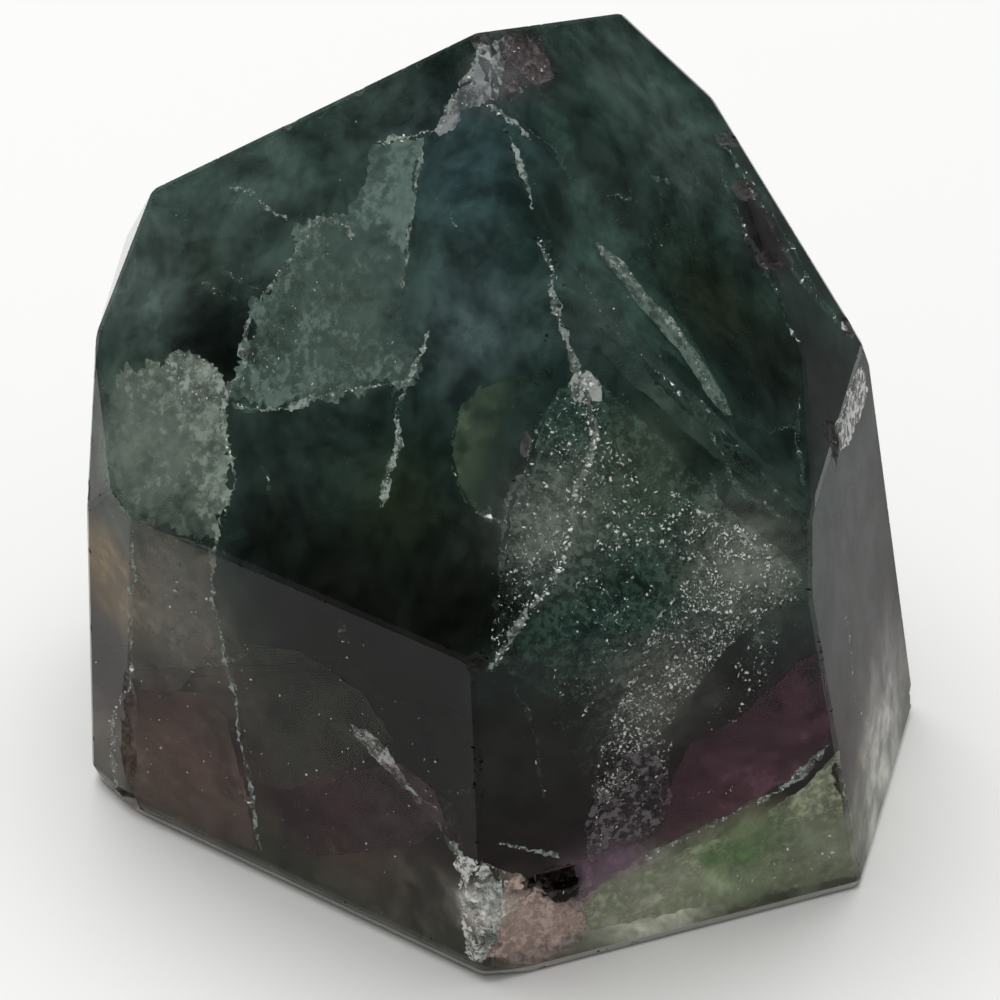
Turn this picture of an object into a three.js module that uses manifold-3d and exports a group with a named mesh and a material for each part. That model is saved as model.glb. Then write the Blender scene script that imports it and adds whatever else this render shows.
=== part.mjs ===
// Fluorite point: a stubby six-sided block of fluorite, flat underneath, ground to flat facets and closed by a
// lopsided peak, with its edges worn and a few corners broken. One solid, in millimetres, +Z up, with its
// origin on the base under the middle of the stone.
import * as THREE from 'three';
import { ConvexGeometry } from 'three/addons/geometries/ConvexGeometry.js';
import { mergeVertices } from 'three/addons/utils/BufferGeometryUtils.js';
import Module from 'manifold-3d';

const wasm = await Module();
wasm.setup();

// A facet faces a bearing (degrees anticlockwise from +X), leans back from upright (degrees) and lies at a
// reach (mm) from the grinding centre, a point on the base.
const sideFacets = {
  frontLeft: { faces: -125, leans: -1, reach: 20.6 },
  frontRight: { faces: -69, leans: 0.5, reach: 21.9 },
  right: { faces: -14, leans: 8.5, reach: 25.8 },
  backRight: { faces: 52.5, leans: 4.5, reach: 20.6 },
  back: { faces: 112, leans: 1, reach: 24 },
  left: { faces: 174.5, leans: 2, reach: 27.8 },
  leftCorner: { faces: -142, leans: 0.5, reach: 24.7 },
};
const peakFacets = {
  peakFrontLeft: { faces: -125.5, leans: 36, reach: 32.7 },
  peakFrontRight: { faces: -67, leans: 28, reach: 31.5 },
  peakRight: { faces: -24, leans: 44, reach: 37.1 },
  peakRightStrip: { faces: -13.5, leans: 38, reach: 36.15 },
  rightShoulder: { faces: -15.5, leans: 33.5, reach: 34.75 },
  leftShoulder: { faces: -156.5, leans: 13.5, reach: 31.9 },
  peakLeft: { faces: 173, leans: 21, reach: 37.1 },
  peakBack: { faces: 118.5, leans: 42.5, reach: 40 },
  peakBackRight: { faces: 45.5, leans: 31.5, reach: 38.4 },
  backRightShoulder: { faces: 24.5, leans: 23, reach: 33 },
};

// The foot of each side facet is ground under by a bevel this high (mm) that leans back by footLean (degrees).
const footLean = -24;
const footHeights = {
  frontLeft: 1.5,
  frontRight: 0.5,
  right: 0.5,
  backRight: 0.8,
  back: 0.9,
  left: 0.8,
  leftCorner: 1.6,
};
// The front corner of the foot is also ground off by a small triangle.
const frontFoot = { faces: -84, leans: -30, height: 1.7 };
const edgeWidth = 0.45; // width of the worn flat along every other edge, mm
const biteOverDepth = 0.4; // how much of a breaking ball's thickness bites into the stone

const upright = new THREE.Vector3(0, 0, 1);
const basePlane = new THREE.Plane(new THREE.Vector3(0, 0, -1), 0);

function outward({ faces, leans }) {
  const bearing = THREE.MathUtils.degToRad(faces);
  const lean = THREE.MathUtils.degToRad(leans);
  return new THREE.Vector3(
    Math.cos(lean) * Math.cos(bearing),
    Math.cos(lean) * Math.sin(bearing),
    Math.sin(lean),
  );
}

function facetPlane(facet) {
  return new THREE.Plane(outward(facet), -facet.reach);
}

// The point where three planes meet, or null where two of them are parallel.
function meetingPoint(a, b, c) {
  const bc = new THREE.Vector3().crossVectors(b.normal, c.normal);
  const ca = new THREE.Vector3().crossVectors(c.normal, a.normal);
  const ab = new THREE.Vector3().crossVectors(a.normal, b.normal);
  const spread = a.normal.dot(bc);
  if (Math.abs(spread) < 1e-6) return null;
  return bc.multiplyScalar(-a.constant)
    .addScaledVector(ca, -b.constant)
    .addScaledVector(ab, -c.constant)
    .divideScalar(spread);
}

// The corners of the solid that lies behind every plane, each with the planes that meet there.
function cornersOf(planes) {
  const corners = [];
  for (let i = 0; i < planes.length; i += 1) {
    for (let j = i + 1; j < planes.length; j += 1) {
      for (let k = j + 1; k < planes.length; k += 1) {
        const point = meetingPoint(planes[i], planes[j], planes[k]);
        if (point && planes.every((plane) => plane.distanceToPoint(point) < 1e-5)) {
          corners.push({ point, meets: [planes[i], planes[j], planes[k]] });
        }
      }
    }
  }
  return corners;
}

// A point on a facet, across from its middle line (mm, anticlockwise seen from above) and up from the base.
function facetSpot(facet, across, height) {
  const plane = facetPlane(facet);
  const level = new THREE.Plane(upright, -height);
  const bearing = THREE.MathUtils.degToRad(facet.faces + 90);
  const sideways = new THREE.Vector3(Math.cos(bearing), Math.sin(bearing), 0);
  return meetingPoint(plane, level, new THREE.Plane(sideways, -across));
}

// A point on the edge between two facets, at a height above the base.
function edgeSpot(facetA, facetB, height) {
  return meetingPoint(facetPlane(facetA), facetPlane(facetB), new THREE.Plane(upright, -height));
}

// The bevel under a side facet, from the line at the given height on that facet.
function footBevel(facet, height, { faces = facet.faces, leans = footLean } = {}) {
  const normal = outward({ faces, leans });
  return new THREE.Plane().setFromNormalAndCoplanarPoint(normal, facetSpot(facet, 0, height));
}

// The worn flat along the edge where two planes meet, edgeWidth wide.
function wornEdge(a, b, pointOnEdge) {
  const halfTurn = a.normal.angleTo(b.normal) / 2;
  const normal = new THREE.Vector3().addVectors(a.normal, b.normal).normalize();
  const cutDepth = (edgeWidth / 2) * Math.tan(halfTurn);
  return new THREE.Plane(normal, cutDepth - normal.dot(pointOnEdge));
}

function wornEdges(planes) {
  const corners = cornersOf(planes);
  const edges = [];
  for (let i = 0; i < planes.length; i += 1) {
    for (let j = i + 1; j < planes.length; j += 1) {
      const shared = corners.filter(({ meets }) => meets.includes(planes[i]) && meets.includes(planes[j]));
      const long = shared.some(({ point }) => point.distanceTo(shared[0].point) > edgeWidth);
      if (long) edges.push(wornEdge(planes[i], planes[j], shared[0].point));
    }
  }
  return edges;
}

function groundStone() {
  const facets = { ...sideFacets, ...peakFacets };
  const ground = Object.values(facets).map(facetPlane);
  for (const [name, height] of Object.entries(footHeights)) {
    ground.push(footBevel(sideFacets[name], height));
  }
  const { frontLeft, frontRight } = sideFacets;
  const frontFootTop = edgeSpot(frontLeft, frontRight, frontFoot.height);
  ground.push(new THREE.Plane().setFromNormalAndCoplanarPoint(outward(frontFoot), frontFootTop));
  const worn = wornEdges(ground);
  const corners = cornersOf([...ground, ...worn, basePlane]);
  return new ConvexGeometry(corners.map(({ point }) => point));
}

// Repeatable random numbers from 0 to 1.
function randomFrom(seed) {
  let state = seed;
  return () => {
    state = (state * 1664525 + 1013904223) % 4294967296;
    return state / 4294967296;
  };
}

function positionsOnly(geometry) {
  geometry.deleteAttribute('normal');
  geometry.deleteAttribute('uv');
  return mergeVertices(geometry, 1e-5);
}

function toSolid(geometry) {
  const merged = positionsOnly(geometry);
  const vertProperties = new Float32Array(merged.attributes.position.array);
  const triVerts = new Uint32Array(merged.index.array);
  return new wasm.Manifold(new wasm.Mesh({ numProp: 3, vertProperties, triVerts }));
}

// A lumpy ball, laid on the stone so that it bites out a shell-shaped hollow: width across, height up the
// facet and depth into it, all in mm at the surface. lumps is how rough the hollow is.
function breakingBall({ at, faces, leans = 0, turn = 0, width, height, depth, lumps = 0.12, fineness = 3, seed }) {
  const ball = positionsOnly(new THREE.IcosahedronGeometry(1, fineness));
  const random = randomFrom(seed);
  const position = ball.attributes.position;
  const vertex = new THREE.Vector3();
  for (let i = 0; i < position.count; i += 1) {
    vertex.fromBufferAttribute(position, i).multiplyScalar(1 + lumps * (2 * random() - 1));
    position.setXYZ(i, vertex.x, vertex.y, vertex.z);
  }
  const thickness = depth / biteOverDepth;
  const mouth = Math.sqrt(1 - (1 - biteOverDepth) ** 2); // share of the ball's width left at the surface
  const normal = outward({ faces, leans });
  const across = new THREE.Vector3().crossVectors(upright, normal).normalize();
  const up = new THREE.Vector3().crossVectors(normal, across);
  ball.scale(width / 2 / mouth, height / 2 / mouth, thickness);
  ball.rotateZ(THREE.MathUtils.degToRad(turn));
  ball.applyMatrix4(new THREE.Matrix4().makeBasis(across, up, normal));
  const centre = at.clone().addScaledVector(normal, thickness - depth);
  return ball.translate(centre.x, centre.y, centre.z);
}

function breaks() {
  const { frontLeft, frontRight, right, backRight, back, left, leftCorner } = sideFacets;
  const { peakFrontLeft, peakFrontRight, peakRight, peakRightStrip, rightShoulder, leftShoulder } = peakFacets;
  const { peakBack, peakBackRight } = peakFacets;
  return [
    // The broken foot of the front edge: a sugary hollow, a broad smooth spall beside it and a pit above that.
    { at: edgeSpot(frontLeft, frontRight, 6.2), faces: -84, width: 3.6, height: 9, depth: 1.1, lumps: 0.16,
      fineness: 5, seed: 11 },
    { at: facetSpot(frontRight, -6.2, 4.2), faces: -70, turn: -8, width: 7.6, height: 7, depth: 0.55, lumps: 0.04,
      fineness: 4, seed: 5 },
    { at: facetSpot(frontRight, -4.9, 7.2), faces: -69, width: 3.4, height: 2.6, depth: 1.5, lumps: 0.1, seed: 8 },
    { at: facetSpot(frontRight, -6.4, 7.7), faces: -69, width: 2, height: 1.3, depth: 0.7, lumps: 0.1, seed: 21 },
    // The chipped top of the front edge.
    { at: edgeSpot(frontLeft, frontRight, 26.6), faces: -97, leans: 20, width: 2.4, height: 1.8, depth: 0.6, seed: 9 },
    // The flaked left corner edge and its foot.
    { at: edgeSpot(leftCorner, frontLeft, 10.5), faces: -134, width: 1.5, height: 4.6, depth: 0.4, seed: 14 },
    { at: edgeSpot(leftCorner, frontLeft, 6), faces: -134, width: 1.8, height: 5.4, depth: 0.55, seed: 15 },
    { at: edgeSpot(leftCorner, frontLeft, 1.2), faces: -137, leans: -35, width: 3.6, height: 2.6, depth: 0.9, seed: 16 },
    { at: edgeSpot(leftCorner, left, 0.9), faces: -165, leans: -35, width: 2.4, height: 2.4, depth: 0.7, seed: 17 },
    { at: edgeSpot(leftShoulder, left, 25), faces: -170, leans: 8, width: 1, height: 1.8, depth: 0.3, seed: 18 },
    // The chipped shoulder at the top of the right facet: two long flakes side by side, and a nick above.
    { at: edgeSpot(rightShoulder, right, 29.9), faces: -14, leans: 20, turn: -12, width: 2.6, height: 5,
      depth: 0.75, lumps: 0.16, fineness: 4, seed: 2 },
    { at: edgeSpot(rightShoulder, right, 30.4), faces: -14, leans: 15, turn: 10, width: 2.2, height: 4.4,
      depth: 0.6, lumps: 0.16, seed: 4 },
    { at: edgeSpot(rightShoulder, peakRightStrip, 32.5), faces: -10, leans: 35, width: 1.8, height: 1.6,
      depth: 0.5, lumps: 0.16, seed: 6 },
    // Flakes along the upper right edge.
    { at: edgeSpot(peakRight, peakRightStrip, 43.8), faces: -19, leans: 41, turn: 55, width: 1.1, height: 3.4,
      depth: 0.3, seed: 31 },
    { at: edgeSpot(peakRight, peakRightStrip, 41.6), faces: -19, leans: 41, turn: 55, width: 1.6, height: 3.2,
      depth: 0.4, seed: 32 },
    { at: edgeSpot(peakRight, peakRightStrip, 38.6), faces: -19, leans: 41, turn: 55, width: 1.4, height: 3.8,
      depth: 0.35, seed: 33 },
    // Nicks in the top ridge, the worn tip and the pitted patch beside it.
    { at: edgeSpot(peakFrontLeft, peakBack, 48.3), faces: 180, leans: 80, width: 1, height: 1.4, depth: 0.35, seed: 41 },
    { at: edgeSpot(peakFrontLeft, peakBack, 51.3), faces: 180, leans: 80, width: 1.2, height: 1, depth: 0.35, seed: 42 },
    { at: edgeSpot(peakFrontLeft, peakRight, 55.6), faces: -60, leans: 65, width: 2.6, height: 3, depth: 0.4, seed: 43 },
    { at: facetSpot(peakRight, 3.1, 53.6), faces: -24, leans: 44, turn: 20, width: 3, height: 4.4, depth: 0.35,
      lumps: 0.1, fineness: 4, seed: 44 },
    // Wear on the far side.
    { at: edgeSpot(backRight, back, 14), faces: 82, width: 1.6, height: 5, depth: 0.5, seed: 51 },
    { at: edgeSpot(back, left, 23), faces: 143, width: 1.4, height: 3.4, depth: 0.4, seed: 52 },
    { at: edgeSpot(right, backRight, 1.2), faces: 20, leans: -30, width: 3.4, height: 2.2, depth: 0.8, seed: 53 },
    { at: edgeSpot(peakBack, peakBackRight, 44), faces: 82, leans: 40, width: 1.6, height: 4, depth: 0.4, seed: 54 },
    { at: edgeSpot(peakFrontRight, peakFrontLeft, 38), faces: -97, leans: 34, width: 0.9, height: 2.4, depth: 0.2,
      fineness: 2, seed: 55 },
  ];
}

function brokenStone() {
  let stone = toSolid(groundStone());
  for (const bite of breaks()) {
    stone = stone.subtract(toSolid(breakingBall(bite)));
  }
  const { vertProperties, triVerts, numProp } = stone.getMesh();
  const geometry = new THREE.BufferGeometry();
  const corners = new THREE.InterleavedBuffer(vertProperties, numProp);
  const places = new Float32Array((vertProperties.length / numProp) * 3);
  for (let i = 0; i < places.length / 3; i += 1) {
    places.set(corners.array.subarray(i * numProp, i * numProp + 3), i * 3);
  }
  geometry.setAttribute('position', new THREE.BufferAttribute(places, 3));
  geometry.setIndex(new THREE.BufferAttribute(new Uint32Array(triVerts), 1));
  geometry.computeBoundingBox();
  const middle = geometry.boundingBox.getCenter(new THREE.Vector3());
  geometry.translate(-middle.x, -middle.y, -geometry.boundingBox.min.z);
  geometry.computeVertexNormals();
  return geometry;
}

const darkGreenFluorite = new THREE.MeshStandardMaterial({ color: 0x34493f, roughness: 0.2, metalness: 0 });
const stone = new THREE.Mesh(brokenStone(), darkGreenFluorite);
stone.name = 'fluorite_point';

const group = new THREE.Group();
group.add(stone);
export default group;
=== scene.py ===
# Fluorite point: the looks of a stubby, ground and polished block of fluorite with a lopsided peak.
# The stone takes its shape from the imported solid; its nicks, healed cracks and clouds are made here.
import math
import random
import bpy
import bmesh
import numpy as np
from mathutils import Matrix, Vector
from mathutils.bvhtree import BVHTree
from mathutils.geometry import delaunay_2d_cdt


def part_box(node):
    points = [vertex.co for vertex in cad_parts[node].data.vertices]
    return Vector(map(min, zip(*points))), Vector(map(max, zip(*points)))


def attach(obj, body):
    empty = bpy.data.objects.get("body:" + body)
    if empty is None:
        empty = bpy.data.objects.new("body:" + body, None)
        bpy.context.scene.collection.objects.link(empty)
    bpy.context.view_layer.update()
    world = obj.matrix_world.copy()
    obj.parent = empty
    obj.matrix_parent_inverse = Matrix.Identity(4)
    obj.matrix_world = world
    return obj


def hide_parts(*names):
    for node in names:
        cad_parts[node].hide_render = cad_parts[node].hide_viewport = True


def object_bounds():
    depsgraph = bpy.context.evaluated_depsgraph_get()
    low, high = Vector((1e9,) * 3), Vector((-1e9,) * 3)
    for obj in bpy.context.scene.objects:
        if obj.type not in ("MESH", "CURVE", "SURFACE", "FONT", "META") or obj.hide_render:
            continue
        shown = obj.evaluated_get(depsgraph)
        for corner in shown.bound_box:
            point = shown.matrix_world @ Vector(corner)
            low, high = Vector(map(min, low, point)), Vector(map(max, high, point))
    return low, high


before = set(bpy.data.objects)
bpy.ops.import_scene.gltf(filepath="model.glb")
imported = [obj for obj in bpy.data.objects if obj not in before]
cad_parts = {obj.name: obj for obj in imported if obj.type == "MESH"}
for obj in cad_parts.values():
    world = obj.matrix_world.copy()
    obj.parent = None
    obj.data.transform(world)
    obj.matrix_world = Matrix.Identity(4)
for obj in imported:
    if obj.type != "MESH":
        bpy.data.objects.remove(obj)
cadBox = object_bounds()
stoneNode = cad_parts["fluorite_point"]
millimetre = 0.001
fluoriteIndex = 1.434
fullTurn = 6.28  # radians
outlineFill = 1, 0.01  # only triangles inside an outline, and corners closer than this, in frame points, as one
print("frame loaded")


def linear(hexColor):  # sRGB "#rrggbb" to linear RGBA
    channels = [int(hexColor[i:i + 2], 16) / 255 for i in (1, 3, 5)]
    return tuple(c / 12.92 if c <= 0.04045 else ((c + 0.055) / 1.055) ** 2.4 for c in channels) + (1.0,)


def addNode(tree, kind, inputs=None, **settings):  # inputs take a value or the socket that feeds them
    node = tree.nodes.new(kind)
    for name, value in settings.items():
        setattr(node, name, value)
    for socket, source in (inputs or {}).items():
        if isinstance(source, bpy.types.NodeSocket):
            tree.links.new(source, node.inputs[socket])
        else:
            node.inputs[socket].default_value = source
    return node


def newMaterial(name):
    material = bpy.data.materials.new(name)
    material.use_nodes = True
    material.node_tree.nodes.clear()
    return material, material.node_tree


def addObject(name, data):
    thing = bpy.data.objects.new(name, data)
    bpy.context.collection.objects.link(thing)
    return thing


def dress(piece):  # rides with the stone, and nothing of it stands out past the stone's own box
    mesh = piece.data
    places = np.empty(len(mesh.vertices) * 3)
    mesh.vertices.foreach_get("co", places)
    mesh.vertices.foreach_set("co", np.clip(places.reshape(-1, 3), *cadBox).ravel())
    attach(piece, "root")
    print(piece.name, "made,", len(mesh.polygons), "faces")


shot = {  # mm and degrees
    "target": (-0.381, -0.893, 21.2),
    "elevation": 37,
    "distance": 342.7,
    "fieldOfView": 11,
    "frameWidth": 1000,  # the camera's square frame, in the points that place what shows on the stone
    "clipStart": 0.01,  # m
}


def viewAxes(turn=0):  # turn: degrees anticlockwise round the stone, seen from above
    lift = math.radians(shot["elevation"])
    spin = Matrix.Rotation(math.radians(turn), 3, "Z")
    forward = Vector((0, math.cos(lift), -math.sin(lift)))
    up = Vector((0, math.sin(lift), math.cos(lift)))
    return spin @ forward, spin @ up, spin @ Vector((1, 0, 0))


def eyePoint(turn=0):
    return (Vector(shot["target"]) - viewAxes(turn)[0] * shot["distance"]) * millimetre


def makeCamera():
    data = bpy.data.cameras.new("camera")
    data.angle = math.radians(shot["fieldOfView"])
    data.clip_start = shot["clipStart"]
    camera = addObject("camera", data)
    camera.location = eyePoint()
    camera.rotation_euler = (math.radians(90 - shot["elevation"]), 0, 0)
    bpy.context.scene.camera = camera


studio = {  # metres and watts
    "floorSize": 3.0,
    "floorGap": 0.00005,  # keeps the floor just clear of the base
    "floorColor": "#f4f4f2",
    "roomColor": "#9a9a98",  # low around the stone
    "ceilingColor": "#ffffff",
    "roomStrength": 0.22,
    "ceilingStrength": 0.62,
    "ceilingRise": (0.45, 0.9),  # where the room's grey turns to the ceiling's white, height on a ball
    "softboxSize": 1.1,
    "softboxHeight": 1.0,
    "softboxOffset": (-0.15, 0.25),
    "softboxPower": 9.6,
    "bounces": 5,
}


def makeStudio():
    half = studio["floorSize"] / 2
    mesh = bpy.data.meshes.new("floor")
    drop = -studio["floorGap"]
    mesh.from_pydata([(-half, -half, drop), (half, -half, drop), (half, half, drop), (-half, half, drop)], [],
                     [(0, 1, 2, 3)])
    floor = addObject("floor", mesh)
    # Matt painted board: one even near-white with no gloss.
    material, tree = newMaterial("paintedBoard")
    shader = addNode(tree, "ShaderNodeBsdfDiffuse", {"Color": linear(studio["floorColor"])})
    addNode(tree, "ShaderNodeOutputMaterial", {"Surface": shader.outputs[0]})
    mesh.materials.append(material)

    lamp = bpy.data.lights.new("softbox", "AREA")
    lamp.shape = "DISK"
    lamp.size = studio["softboxSize"]
    lamp.energy = studio["softboxPower"]
    softbox = addObject("softbox", lamp)
    softbox.location = (*studio["softboxOffset"], studio["softboxHeight"])

    world = bpy.data.worlds.new("studio")
    bpy.context.scene.world = world
    world.use_nodes = True
    tree = world.node_tree
    tree.nodes.clear()
    direction = addNode(tree, "ShaderNodeTexCoord")
    axes = addNode(tree, "ShaderNodeSeparateXYZ", {0: direction.outputs["Generated"]})
    height = addNode(tree, "ShaderNodeMapRange", {
        "Value": axes.outputs["Z"], "From Min": studio["ceilingRise"][0], "From Max": studio["ceilingRise"][1]},
        interpolation_type="SMOOTHSTEP")
    room = addNode(tree, "ShaderNodeBackground",
                   {"Color": linear(studio["roomColor"]), "Strength": studio["roomStrength"]})
    ceiling = addNode(tree, "ShaderNodeBackground",
                      {"Color": linear(studio["ceilingColor"]), "Strength": studio["ceilingStrength"]})
    light = addNode(tree, "ShaderNodeMixShader", {0: height.outputs[0], 1: room.outputs[0], 2: ceiling.outputs[0]})
    addNode(tree, "ShaderNodeOutputWorld", {"Surface": light.outputs[0]})
    bpy.context.scene.view_settings.view_transform = "Standard"
    bpy.context.scene.cycles.max_bounces = studio["bounces"]


makeCamera()
makeStudio()
print("camera and studio set")


def newTree(name, inputs):  # inputs: name -> (socket kind, value)
    tree = bpy.data.node_groups.new(name, "GeometryNodeTree")
    tree.interface.new_socket("Geometry", in_out="INPUT", socket_type="NodeSocketGeometry")
    tree.interface.new_socket("Geometry", in_out="OUTPUT", socket_type="NodeSocketGeometry")
    for label, (kind, value) in inputs.items():
        socket = tree.interface.new_socket(label, in_out="INPUT", socket_type=kind)
        if value is not None:
            socket.default_value = value
    return tree, tree.nodes.new("NodeGroupInput").outputs


def runTree(piece, tree, values):  # the mesh the tree makes; a value that no input is named for is passed over
    modifier = piece.modifiers.new(tree.name, "NODES")
    modifier.node_group = tree
    for item in tree.interface.items_tree:
        if item.in_out == "INPUT" and item.name in values:
            modifier[item.identifier] = values[item.name]
    bpy.context.view_layer.update()
    evaluated = piece.evaluated_get(bpy.context.evaluated_depsgraph_get())
    return bpy.data.meshes.new_from_object(evaluated)


def scatterLumps(tree, spots, lump, size, stretch, seeds, chosen=None):  # lumps of random stretch and turn, realized
    pulled = addNode(tree, "FunctionNodeRandomValue", {0: stretch[0], 1: stretch[1], "Seed": seeds[0]},
                     data_type="FLOAT_VECTOR")
    scale = addNode(tree, "ShaderNodeVectorMath", {0: pulled.outputs[0], "Scale": size}, operation="SCALE")
    spin = addNode(tree, "FunctionNodeRandomValue", {0: (0, 0, 0), 1: (fullTurn,) * 3, "Seed": seeds[1]},
                   data_type="FLOAT_VECTOR")
    turn = addNode(tree, "FunctionNodeEulerToRotation", {0: spin.outputs[0]})
    laid = addNode(tree, "GeometryNodeInstanceOnPoints", {
        "Points": spots, "Instance": lump, "Rotation": turn.outputs[0], "Scale": scale.outputs[0]})
    if chosen is not None:
        tree.links.new(chosen, laid.inputs["Selection"])
    return addNode(tree, "GeometryNodeRealizeInstances", {0: laid.outputs[0]}).outputs[0]


def endTree(tree, shape, material):
    done = addNode(tree, "GeometryNodeSetMaterial", {0: shape, "Material": material})
    addNode(tree, "NodeGroupOutput", {0: done.outputs[0]})
    return tree


nickRules = {
    "edgeBend": 0.12,  # radians, a sharper edge can be nicked
    "patches": 240.0,  # turns of the noise to a metre: worn and whole stretches about 4 mm long
    "worn": (0.4, 0.65),  # noise levels where nicks begin and where they are thickest
    "rarity": 3.0,  # how much small nicks outnumber large ones
    "stretch": ((0.3, 0.5, 0.7), (1.0, 1.6, 3.0)),
    "seeds": (7, 5),
}


def nickTree():  # bites small splinters out of the worn edges
    tree, given = newTree("edgeNicks", {
        "Spacing": ("NodeSocketFloat", 0.0004), "Smallest": ("NodeSocketFloat", 0.00006),
        "Largest": ("NodeSocketFloat", 0.0003), "Share": ("NodeSocketFloat", 0.5),
        "Seed": ("NodeSocketInt", 3), "Material": ("NodeSocketMaterial", None)})
    bend = addNode(tree, "GeometryNodeInputMeshEdgeAngle")
    sharp = addNode(tree, "FunctionNodeCompare", {0: bend.outputs[0], 1: nickRules["edgeBend"]},
                    operation="GREATER_THAN")
    broken = addNode(tree, "GeometryNodeInputNamedAttribute", {"Name": "broken"})
    whole = addNode(tree, "FunctionNodeCompare", {0: broken.outputs[0], 1: 0.01}, operation="LESS_THAN")
    edges = addNode(tree, "FunctionNodeBooleanMath", {0: sharp.outputs[0], 1: whole.outputs[0]}, operation="AND")
    lines = addNode(tree, "GeometryNodeMeshToCurve", {0: given["Geometry"], 1: edges.outputs[0]})
    spots = addNode(tree, "GeometryNodeResampleCurve", {0: lines.outputs[0], "Length": given["Spacing"]},
                    mode="LENGTH")
    place = addNode(tree, "GeometryNodeInputPosition")
    patches = addNode(tree, "ShaderNodeTexNoise", {
        "Vector": place.outputs[0], "Scale": nickRules["patches"], "Detail": 1.0})
    likely = addNode(tree, "ShaderNodeMapRange", {
        "Value": patches.outputs[0], "From Min": nickRules["worn"][0], "From Max": nickRules["worn"][1],
        "To Max": given["Share"]})
    chosen = addNode(tree, "FunctionNodeRandomValue", {"Probability": likely.outputs[0], "Seed": given["Seed"]},
                     data_type="BOOLEAN")
    lump = addNode(tree, "GeometryNodeMeshIcoSphere", {"Radius": 1.0, "Subdivisions": 1})
    luck = addNode(tree, "FunctionNodeRandomValue", {"Seed": given["Seed"]})
    rare = addNode(tree, "ShaderNodeMath", {0: luck.outputs[1], 1: nickRules["rarity"]}, operation="POWER")
    size = addNode(tree, "ShaderNodeMapRange", {"Value": rare.outputs[0], "To Min": given["Smallest"],
                                                "To Max": given["Largest"]})
    bites = scatterLumps(tree, spots.outputs[0], lump.outputs[0], size.outputs[0], nickRules["stretch"],
                         nickRules["seeds"], chosen.outputs[3])
    marked = addNode(tree, "GeometryNodeStoreNamedAttribute", {0: bites, "Name": "broken", "Value": 1.0},
                     domain="FACE")
    cut = addNode(tree, "GeometryNodeMeshBoolean", {0: given["Geometry"], 1: marked.outputs[0],
                                                    "Self Intersection": True},
                  operation="DIFFERENCE", solver="EXACT")
    return endTree(tree, cut.outputs[0], given["Material"])


stone = {
    "flatBend": 0.1,  # faces that meet within this angle are one flat, degrees
    "flatSlack": 0.03,  # nothing stands further than this in front of a ground flat, mm
    "sliver": 1.5,  # a face is a sliver, not a break, under the slack divided by this
    "paintGrid": 1.6,  # spacing of the points that carry the colour zones, mm
    "paintStart": 0.37,  # share of a step
    "zoneGain": 2,  # how fast a zone covers the layers of the stone
    "sameFacet": 0.99,  # faces this parallel take a zone's satin
    "nicks": {"Spacing": 0.0003, "Smallest": 0.00003, "Largest": 0.0002, "Share": 0.7, "Seed": 3},
}


def copyOfSolid():
    mesh = stoneNode.data.copy()
    mesh.name = "fluoriteStone"
    mesh.materials.clear()
    shape = bmesh.new()
    shape.from_mesh(mesh)
    bmesh.ops.remove_doubles(shape, verts=shape.verts, dist=1e-6)
    bmesh.ops.dissolve_limit(shape, angle_limit=math.radians(stone["flatBend"]), verts=shape.verts,
                             edges=shape.edges)
    corners = np.array([vert.co[:] for vert in shape.verts])
    broken = shape.faces.layers.float.new("broken")
    for face in shape.faces:
        normal = np.array(face.normal[:])
        bulge = (corners @ normal).max() - face.calc_center_median().dot(face.normal)
        width = 2 * face.calc_area() / face.calc_perimeter()
        face[broken] = 1.0 if bulge > stone["flatSlack"] * millimetre < width * stone["sliver"] else 0.0
        face.smooth = False
    shape.to_mesh(mesh)
    shape.free()
    return addObject("polishedStone", mesh)


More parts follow.
